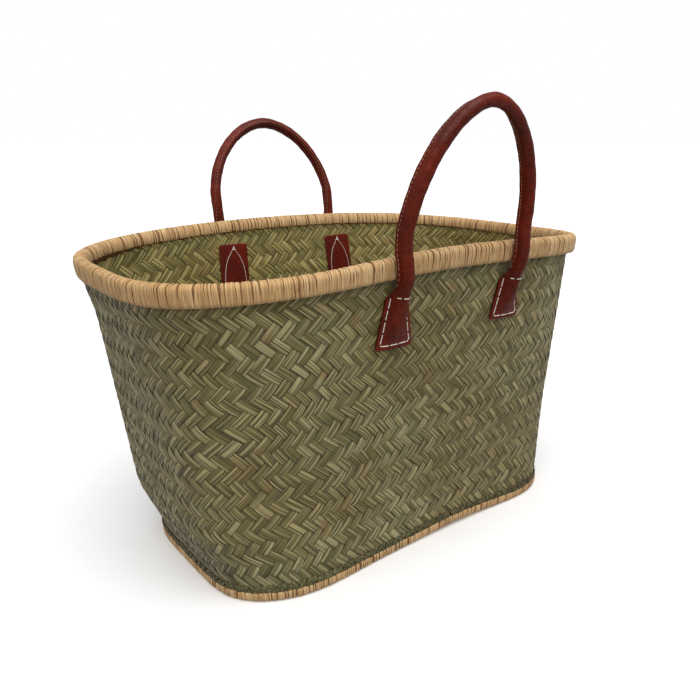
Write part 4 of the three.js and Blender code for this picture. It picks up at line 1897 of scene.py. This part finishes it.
    def grip_path(self, count: int) -> np.ndarray:
        """Give the middle line from one join over the arch to the other.

        Args:
            count: How many points to give.

        Returns:
            The points.
        """
        up = [self.leg_point(Foot.LEFT, h) for h in (self.join, 292.0, 299.0)]
        down = [self.leg_point(Foot.RIGHT, h) for h in (299.0, 292.0, self.join)]
        half = self.spacing / 2 + self.spread
        top = []
        first = math.asin((7.2 * MM / self.rise) ** (self.arch_power / 2))
        for turn in np.linspace(math.pi - first, first, 33):
            reach = half * math.copysign(abs(math.cos(turn)) ** (2 / self.arch_power), math.cos(turn))
            above = self.straight + self.rise * math.sin(turn) ** (2 / self.arch_power)
            top.append((
                self.shift + reach,
                self.side.value * (self.upper_reach + above * math.sin(self.lean)),
                self.upper_fold + above * math.cos(self.lean),
            ))
        return spline(np.array([*up, *top, *down]), count)

    def rolled(self, path: np.ndarray, angles: np.ndarray, ridge: np.ndarray) -> np.ndarray:
        """Sweep the rolled leather's outline along a path.

        Args:
            path: The middle line.
            angles: The ridge's turn from the inward direction at each point, about the path.
            ridge: How much of the ridge stands up at each point.

        Returns:
            Rings, each from the ridge round.
        """
        _, inward, sideways = self.frames(path)
        turn = angles[:, None, None] + np.radians(np.arange(SIDES) * 360.0 / SIDES)[None, :, None]
        walked = walk(path)
        lumps = 0.12 * MM * np.sin(walked * 210.0 + self.side.value) + 0.08 * MM * np.sin(walked * 520.0)
        radius = np.stack([rolled_outline(r) for r in ridge]) + lumps[:, None]
        way = np.cos(turn) * inward[:, None] + np.sin(turn) * sideways[:, None]
        return path[:, None] + radius[..., None] * way

    def sleeve(self, shop: Workshop, foot: Foot) -> Thing:
        """Make a sewn end: a flat tab that rolls up into the round leg.

        Args:
            shop: The workshop.
            foot: Which end of the handle.

        Returns:
            The piece.
        """
        flat = [*np.array(TAB_HEIGHTS[:4]), *np.linspace(224.5, 261.0, 26)]
        rings = [self.tab_ring(shop.shape, foot, h) for h in flat]
        turn = math.radians(-self.side.value * self.leg_turn)
        path = self.leg_path(foot, NECK, 26)
        ridge = smooth((path[:, 2] / MM - 267.0) / 10.0)
        round_rings = self.rolled(path, np.full(len(path), turn), ridge)
        steps = int(round(-self.side.value * self.leg_turn / (360 / SIDES)))
        for centre, ring in zip(path, np.roll(round_rings, steps, axis=1)):
            share = smooth((centre[2] / MM - 257.0) / 18.0)
            tab = self.tab_ring(shop.shape, foot, max(min(centre[2] / MM, 277.0), NECK))
            rings.append(tab * (1 - share) + ring * share)
        return loft(f"{self.label}_{foot.name.lower()}_sleeve", np.stack(rings), shop.finishes.get(LEATHER))

    def core(self, name: str, path: np.ndarray, radius: np.ndarray, shop: Workshop) -> Thing:
        """Lay the three-strand rope inside the leather.

        Args:
            name: The piece's name.
            path: The middle line.
            radius: The rope's radius at each point.
            shop: The workshop.

        Returns:
            The piece.
        """
        _, inward, sideways = self.frames(path)
        angle = np.linspace(0, math.tau, 18, endpoint=False)[None, :]
        lay = 0.86 + 0.14 * np.abs(np.cos(1.5 * (angle - walk(path)[:, None] * 300.0)))
        reach = (radius[:, None] * lay)[..., None]
        angle = angle[..., None]
        rings = path[:, None] + reach * (np.cos(angle) * inward[:, None] + np.sin(angle) * sideways[:, None])
        return loft(name, rings, shop.finishes.get(ROPE))

    def seam(self, name: str, path: np.ndarray, angles: np.ndarray, shop: Workshop) -> Thing:
        """Sew the ridge, with a stitch on each of its two flanks.

        Args:
            name: The piece's name.
            path: The middle line.
            angles: The ridge's turn from the inward direction at each point.
            shop: The workshop.

        Returns:
            The piece.
        """
        stitches = max(int(length_of(path) / SEAM_PITCH), 2)
        pick = np.linspace(0, len(path) - 1, stitches).round().astype(int)
        forward, inward, sideways = (part[pick] for part in self.frames(path))
        turn = angles[pick, None]
        ridge = np.cos(turn) * inward + np.sin(turn) * sideways
        flank = np.cross(forward, ridge)
        middle = path[pick] + ridge * SEAM_RADIUS
        at = np.vstack([middle + flank * SEAM_HALF, middle - flank * SEAM_HALF])
        return shop.sew(
            name, at, np.vstack([forward, forward]), np.vstack([flank, -flank]), SEAM_THREAD,
            Stitch_Length=2.3 * MM, Thread_Radius=0.25 * MM, Dip=0.35 * MM, Bend=4, Sides=5, Seed=5,
        )

    def saddle_stitches(self, shop: Workshop, foot: Foot) -> Thing:
        """Sew the tab down: across the neck, down both edges and along the bottom.

        Args:
            shop: The workshop.
            foot: Which end of the handle.

        Returns:
            The piece.
        """
        half = np.array(SADDLE_LINE)
        line = resample(np.vstack([half, (half * (-1, 1))[::-1][1:]]), self.line_steps)
        length = length_of(line)
        pairs = round(length / SADDLE_PITCH)
        starts = SADDLE_START + np.arange(pairs) * length / pairs
        marks = np.sort(np.concatenate([starts, starts + SADDLE_GAP]))
        at, along, out = [], [], []
        for mark in marks:
            index = int(mark / length * (self.line_steps - 1))
            near = [line[(index + step) % self.line_steps] for step in (-12, 0, 12)]
            before, spot, after = (self.on_front(shop.shape, foot, *place) for place in near)
            beside = self.on_front(shop.shape, foot, near[1][0] + 0.5, near[1][1])
            above = self.on_front(shop.shape, foot, near[1][0], near[1][1] + 0.5)
            face = unit(np.cross(beside - spot, above - spot)) * self.side.value
            face = face if face[1] * self.side.value > 0 else -face
            at.append(spot + face * 0.25 * MM)
            along.append(after - before)
            out.append(face)
        name = f"{self.label}_{foot.name.lower()}_saddle_stitches"
        return shop.sew(
            name, np.array(at), np.array(along), np.array(out), THREAD,
            Stitch_Length=4.1 * MM, Thread_Radius=0.47 * MM, Dip=0.15 * MM, Bend=5, Sides=7, Seed=9,
        )

    def on_front(self, shape: BasketShape, foot: Foot, across: float, drawn: float) -> np.ndarray:
        """Give a point on the tab's front.

        Args:
            shape: The basket's shape.
            foot: Which end of the handle.
            across: Millimetres from the tab's middle.
            drawn: The height in millimetres on the tab's own drawing.

        Returns:
            The point.
        """
        a = np.array([across * MM])
        lift = self.front_height(a, drawn)
        return self.tab_point(shape, foot, a, self.real(foot, drawn) * MM, lift)[0]

    def build(self, shop: Workshop) -> list[Thing]:
        """Make the handle and say what each piece moves with.

        Args:
            shop: The workshop.

        Returns:
            The pieces.
        """
        legs, grip = f"{self.label}_legs", f"{self.label}_grip"
        lower, upper, reach = self.lower_fold, self.upper_fold, self.side.value * self.upper_reach
        fold_start, fold_end, grip_start, grip_end = (
            (0.0, reach, height) for height in (lower, lower + self.fold_room, upper, upper + self.grip_room)
        )
        pieces = []
        for foot in Foot:
            name = f"{self.label}_{foot.name.lower()}"
            sleeve = self.sleeve(shop, foot)
            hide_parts(name + "_tab", name + "_leg")
            path = self.leg_path(foot, NECK, 40)
            low = np.array([
                self.tab_point(shop.shape, foot, np.zeros(1), self.real(foot, h) * MM,
                               np.array([self.front_height(np.zeros(1), h)[0] / 2]))[0]
                for h in np.linspace(229.0, 261.0, 14)
            ])
            whole = spline(np.vstack([low, path[2::6], path[-1:]]), 70)
            radii = (1.2, 2.0, 3.0, self.rope / MM)
            radius = np.interp(whole[:, 2] / MM, ROPE_HEIGHTS, radii) * MM
            core = self.core(name + "_leg_core", whole, radius, shop)
            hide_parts(name + "_leg_rope")
            upper = self.leg_path(foot, 270.0, 60)
            turn = math.radians(-self.side.value * self.leg_turn)
            seam = self.seam(name + "_leg_seam", upper, np.full(len(upper), turn), shop)
            saddle = self.saddle_stitches(shop, foot)
            fasten([saddle], "thread", name + "_tab_thread")
            for piece, slot in ((sleeve, "leather"), (core, "rope"), (seam, "thread")):
                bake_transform(piece, "root", legs, start=fold_start, end=fold_end)
            pieces += [sleeve, core, seam, saddle]
        path = self.grip_path(260)
        share = np.linspace(0, 1, len(path))
        outward = np.radians(np.interp(share, *zip(*self.turns)))
        kernel = np.hanning(25)
        padded = np.pad(outward, 12, mode="edge")
        angles = -self.side.value * np.convolve(padded, kernel / kernel.sum(), mode="valid")
        rings = self.rolled(path, angles, np.ones(len(path)))
        leather = loft(grip + "_sleeve", rings, shop.finishes.get(LEATHER))
        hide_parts(grip)
        core = self.core(grip + "_core", path, np.full(len(path), self.rope), shop)
        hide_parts(grip + "_rope")
        dense = self.grip_path(self.seam_steps)
        dense_angles = np.interp(np.linspace(0, 1, self.seam_steps), share, angles)
        seam = self.seam(grip + "_seam_stitches", dense, dense_angles, shop)
        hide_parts(grip + "_seam")
        for piece, slot in ((leather, "leather"), (core, "rope"), (seam, "thread")):
            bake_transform(piece, legs, grip, start=grip_start, end=grip_end)
        return [*pieces, leather, core, seam]


@dataclass
class InnerPatch:
    """A leather square inside the wall, behind a tab, with the thread's two legs and knot."""

    side: Side
    foot: Foot
    tilt: float
    centre: float
    top: float = 271 * MM
    width: float = 33 * MM
    height: float = 52 * MM
    corner: float = 1.5 * MM
    behind: float = -3.3 * MM
    leather: float = 1.5 * MM
    rounding: Sequence[tuple[float, float]] = (
        (0.05, 0.0), (0.6, 0.0), (0.985, 0.0), (1.0, 0.25), (1.0, 0.8), (0.985, 1.0), (0.93, 1.06), (0.6, 1.1),
        (0.3, 1.12), (0.05, 1.12),
    )
    legs: Sequence[tuple[float, float]] = (
        (-12.8, -47.0), (-12.4, -38.0), (-11.2, -27.0), (-8.2, -17.0), (-3.4, -9.0), (-0.4, -5.6),
    )
    knot: Sequence[tuple[float, float]] = ((-0.5, -4.6), (0.4, -5.0), (-0.2, -3.6), (0.3, -5.8))
    knot_ways: Sequence[tuple] = ((1.0, 0.0, 0.8), (1.0, 0.0, -0.9), (0.2, 0.0, 1.0), (1.0, 0.0, 0.1))
    line_steps: int = 600
    stitch_pitch: float = 4.3 * MM
    stitch_ends: float = 1.5 * MM

    @property
    def label(self) -> str:
        """Give the patch's name."""
        return f"{self.side.name.lower()}_{self.foot.name.lower()}_patch"

    def place(self, shape: BasketShape, flat: np.ndarray, depth: np.ndarray) -> np.ndarray:
        """Put points drawn on the patch onto the wall's inner face.

        Args:
            shape: The basket's shape.
            flat: Points across and up from the middle of the patch's upper edge.
            depth: How far each stands off the wall's inner face.

        Returns:
            The points.
        """
        c, s = math.cos(self.tilt), math.sin(self.tilt)
        pivot = np.array([0.0, -self.height / 2])
        turned = (flat - pivot) @ np.array([[c, s], [-s, c]]) + pivot
        x = self.centre + self.side.value * turned[:, 0]
        return shape.side(x, self.side.value, self.top + turned[:, 1], self.behind - depth)[0]

    def outline(self, count: int = 64) -> np.ndarray:
        """Give the patch's outline about its middle, anticlockwise.

        Args:
            count: How many points to give.

        Returns:
            The points.
        """
        half = np.array([self.width / 2, self.height / 2])
        corners = half - self.corner
        points = []
        for quarter, (sx, sy) in enumerate(((1, 1), (-1, 1), (-1, -1), (1, -1))):
            for angle in np.linspace(0, math.pi / 2, 5) + quarter * math.pi / 2:
                turn = np.array([math.cos(angle), math.sin(angle)])
                points.append(corners * (sx, sy) + self.corner * turn)
        return resample(np.array([*points, points[0]]), count + 1)[:-1]

    def build(self, shop: Workshop) -> list[Thing]:
        """Cut and sew the patch.

        Args:
            shop: The workshop.

        Returns:
            The leather and its thread.
        """
        outline = self.outline()
        rings = []
        for scale, depth in self.rounding:
            flat = outline * scale + np.array([0.0, -self.height / 2])
            rings.append(self.place(shop.shape, flat, np.full(len(flat), depth * self.leather)))
        leather = loft(self.label + "_leather", np.stack(rings), shop.finishes.get(PATCH))
        front = self.leather * self.rounding[-1][1]
        legs = np.array(self.legs) * MM
        line = spline(np.vstack([legs, (legs * (-1, 1))[::-1]]), self.line_steps)
        length, last = length_of(line), self.line_steps - 1
        at, along = [], []
        for mark in np.arange(self.stitch_ends, length - self.stitch_ends, self.stitch_pitch):
            index = int(mark / length * last)
            near = line[[max(index - 8, 0), index, min(index + 8, last)]]
            spots = self.place(shop.shape, near, np.full(3, front + 0.25 * MM))
            at.append(spots[1])
            along.append(spots[2] - spots[0])
        knot = self.place(shop.shape, np.array(self.knot) * MM, np.full(len(self.knot), front + 0.7 * MM))
        at, along = np.vstack([at, knot]), np.vstack([along, self.knot_ways])
        out = np.broadcast_to((0.0, -float(self.side.value), 0.0), at.shape)
        thread = shop.sew(
            self.label + "_stitches", at, along, out, THREAD,
            Stitch_Length=4.4 * MM, Thread_Radius=0.3 * MM, Dip=0.2 * MM, Bend=5, Sides=6, Seed=21,
        )
        fasten([leather], "patch_leather", self.label)
        fasten([thread], "thread", self.label + "_thread")
        return [leather, thread]


# ---------------------------------------------------------------- camera, lights and floor


@dataclass
class Studio:
    """A white studio: pale floor, soft light all round and a camera above the front-left corner."""

    camera_place: tuple = (-0.40767, -0.57679, 0.38357)
    looks_along: tuple = (0.61749, 0.73081, -0.29090)
    roll: float = math.radians(0.367)
    lens: float = 36.28
    sensor: float = 36.0
    floor_reach: float = 60.0
    overhead_spread: float = math.radians(75)
    shift: tuple = (-0.085, 0.0022)
    sky: float = 0.45
    overhead: float = 3.05
    overhead_turn: tuple = (math.radians(24), math.radians(-8), 0.0)

    def camera(self) -> Thing:
        """Set up the camera.

        Returns:
            The camera.
        """
        data = bpy.data.cameras.new("studio_camera")
        data.lens, data.sensor_width = self.lens, self.sensor
        data.shift_x, data.shift_y = self.shift
        camera = put("studio_camera", data)
        turn = Vector(self.looks_along).to_track_quat("-Z", "Y").to_matrix().to_4x4()
        camera.matrix_world = Matrix.Translation(self.camera_place) @ turn @ Matrix.Rotation(self.roll, 4, "Z")
        bpy.context.scene.camera = camera
        return camera

    def build(self) -> None:
        """Set up the floor, world and light."""
        mesh = bpy.data.meshes.new("floor")
        reach = self.floor_reach
        corners = [(-reach, -reach, 0), (reach, -reach, 0), (reach, reach, 0), (-reach, reach, 0)]
        mesh.from_pydata(corners, [], [(0, 1, 2, 3)])
        floor = put("floor", mesh)
        material, s, shader = new_material("white_paper", Roughness=0.9, Specular_IOR_Level=0.1)
        place = s.add("ShaderNodeTexCoord").outputs["Object"]
        paper = s.mix(s.noise(place, 30.0), srgb(248, 248, 248), srgb(252, 252, 252))
        s.feed(shader.inputs["Base Color"], paper)
        mesh.materials.append(material)
        floor.visible_diffuse = floor.visible_glossy = False
        world = bpy.data.worlds.new("studio")
        world.use_nodes = True
        background = world.node_tree.nodes["Background"]
        background.inputs["Color"].default_value = (1.0, 1.0, 1.0, 1.0)
        sky = Shader(world.node_tree)
        seen = sky.add("ShaderNodeLightPath").outputs["Is Camera Ray"]
        sky.feed(background.inputs["Strength"], sky.math("MULTIPLY_ADD", seen, 1.0 - self.sky, self.sky))
        bpy.context.scene.world = world
        data = bpy.data.lights.new("overhead", "SUN")
        data.energy, data.angle = self.overhead, self.overhead_spread
        lamp = put("overhead", data)
        lamp.rotation_euler = self.overhead_turn
        bpy.context.scene.view_settings.view_transform = "Standard"


# ---------------------------------------------------------------- everything together


def main() -> None:
    """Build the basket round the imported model."""
    logging.basicConfig(level=logging.INFO, format="%(message)s")
    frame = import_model()
    folds = {joint["name"]: joint["pos_m"][2] for joint in frame["joints"]}
    studio = Studio()
    studio.camera()
    shop = Workshop(BasketShape.from_frame(), Finishes(), ribbon_tree(), stitch_tree())
    pieces = []
    for maker in (PlaitedWall(), BottomMat(), FoldedPlait(), RIM, FOOT, *HIDDEN_CORDS):
        pieces += maker.build(shop)
    front = Handle(
        side=Side.FRONT, spread=0.0, straight=0.0, rise=108.5 * MM, leg_turn=50,
        turns=((0, 50), (0.12, 50), (0.5, 0), (0.88, -50), (1, -50)),
        tucks={Foot.LEFT: 5 * MM, Foot.RIGHT: 0.0}, lows={Foot.LEFT: 215.5, Foot.RIGHT: 221.5},
        lower_fold=folds["front_fold_out"], upper_fold=folds["front_fold_in"],
    )
    back = Handle(
        side=Side.BACK, spread=3.5 * MM, straight=10 * MM, rise=84.5 * MM, leg_turn=60,
        turns=((0, 60), (0.04, 60), (0.13, 10), (0.5, -8), (0.87, -25), (0.96, -60), (1, -60)),
        tucks={Foot.LEFT: 0.0, Foot.RIGHT: 0.0}, lows={Foot.LEFT: 220.0, Foot.RIGHT: 220.0},
        lower_fold=folds["back_fold_out"], upper_fold=folds["back_fold_in"],
    )
    for handle in (front, back):
        pieces += handle.build(shop)
        for foot, tilt in ((Foot.LEFT, -2.0), (Foot.RIGHT, 3.0)):
            patch = InnerPatch(handle.side, foot, math.radians(tilt), handle.tab_centre(foot))
            pieces += patch.build(shop)
    studio.build()
    for piece in pieces:
        triangles = sum(len(face.vertices) - 2 for face in piece.data.polygons)
        LOG.info("%s: %d triangles", piece.name, triangles)


if __name__ == "__main__":
    main()
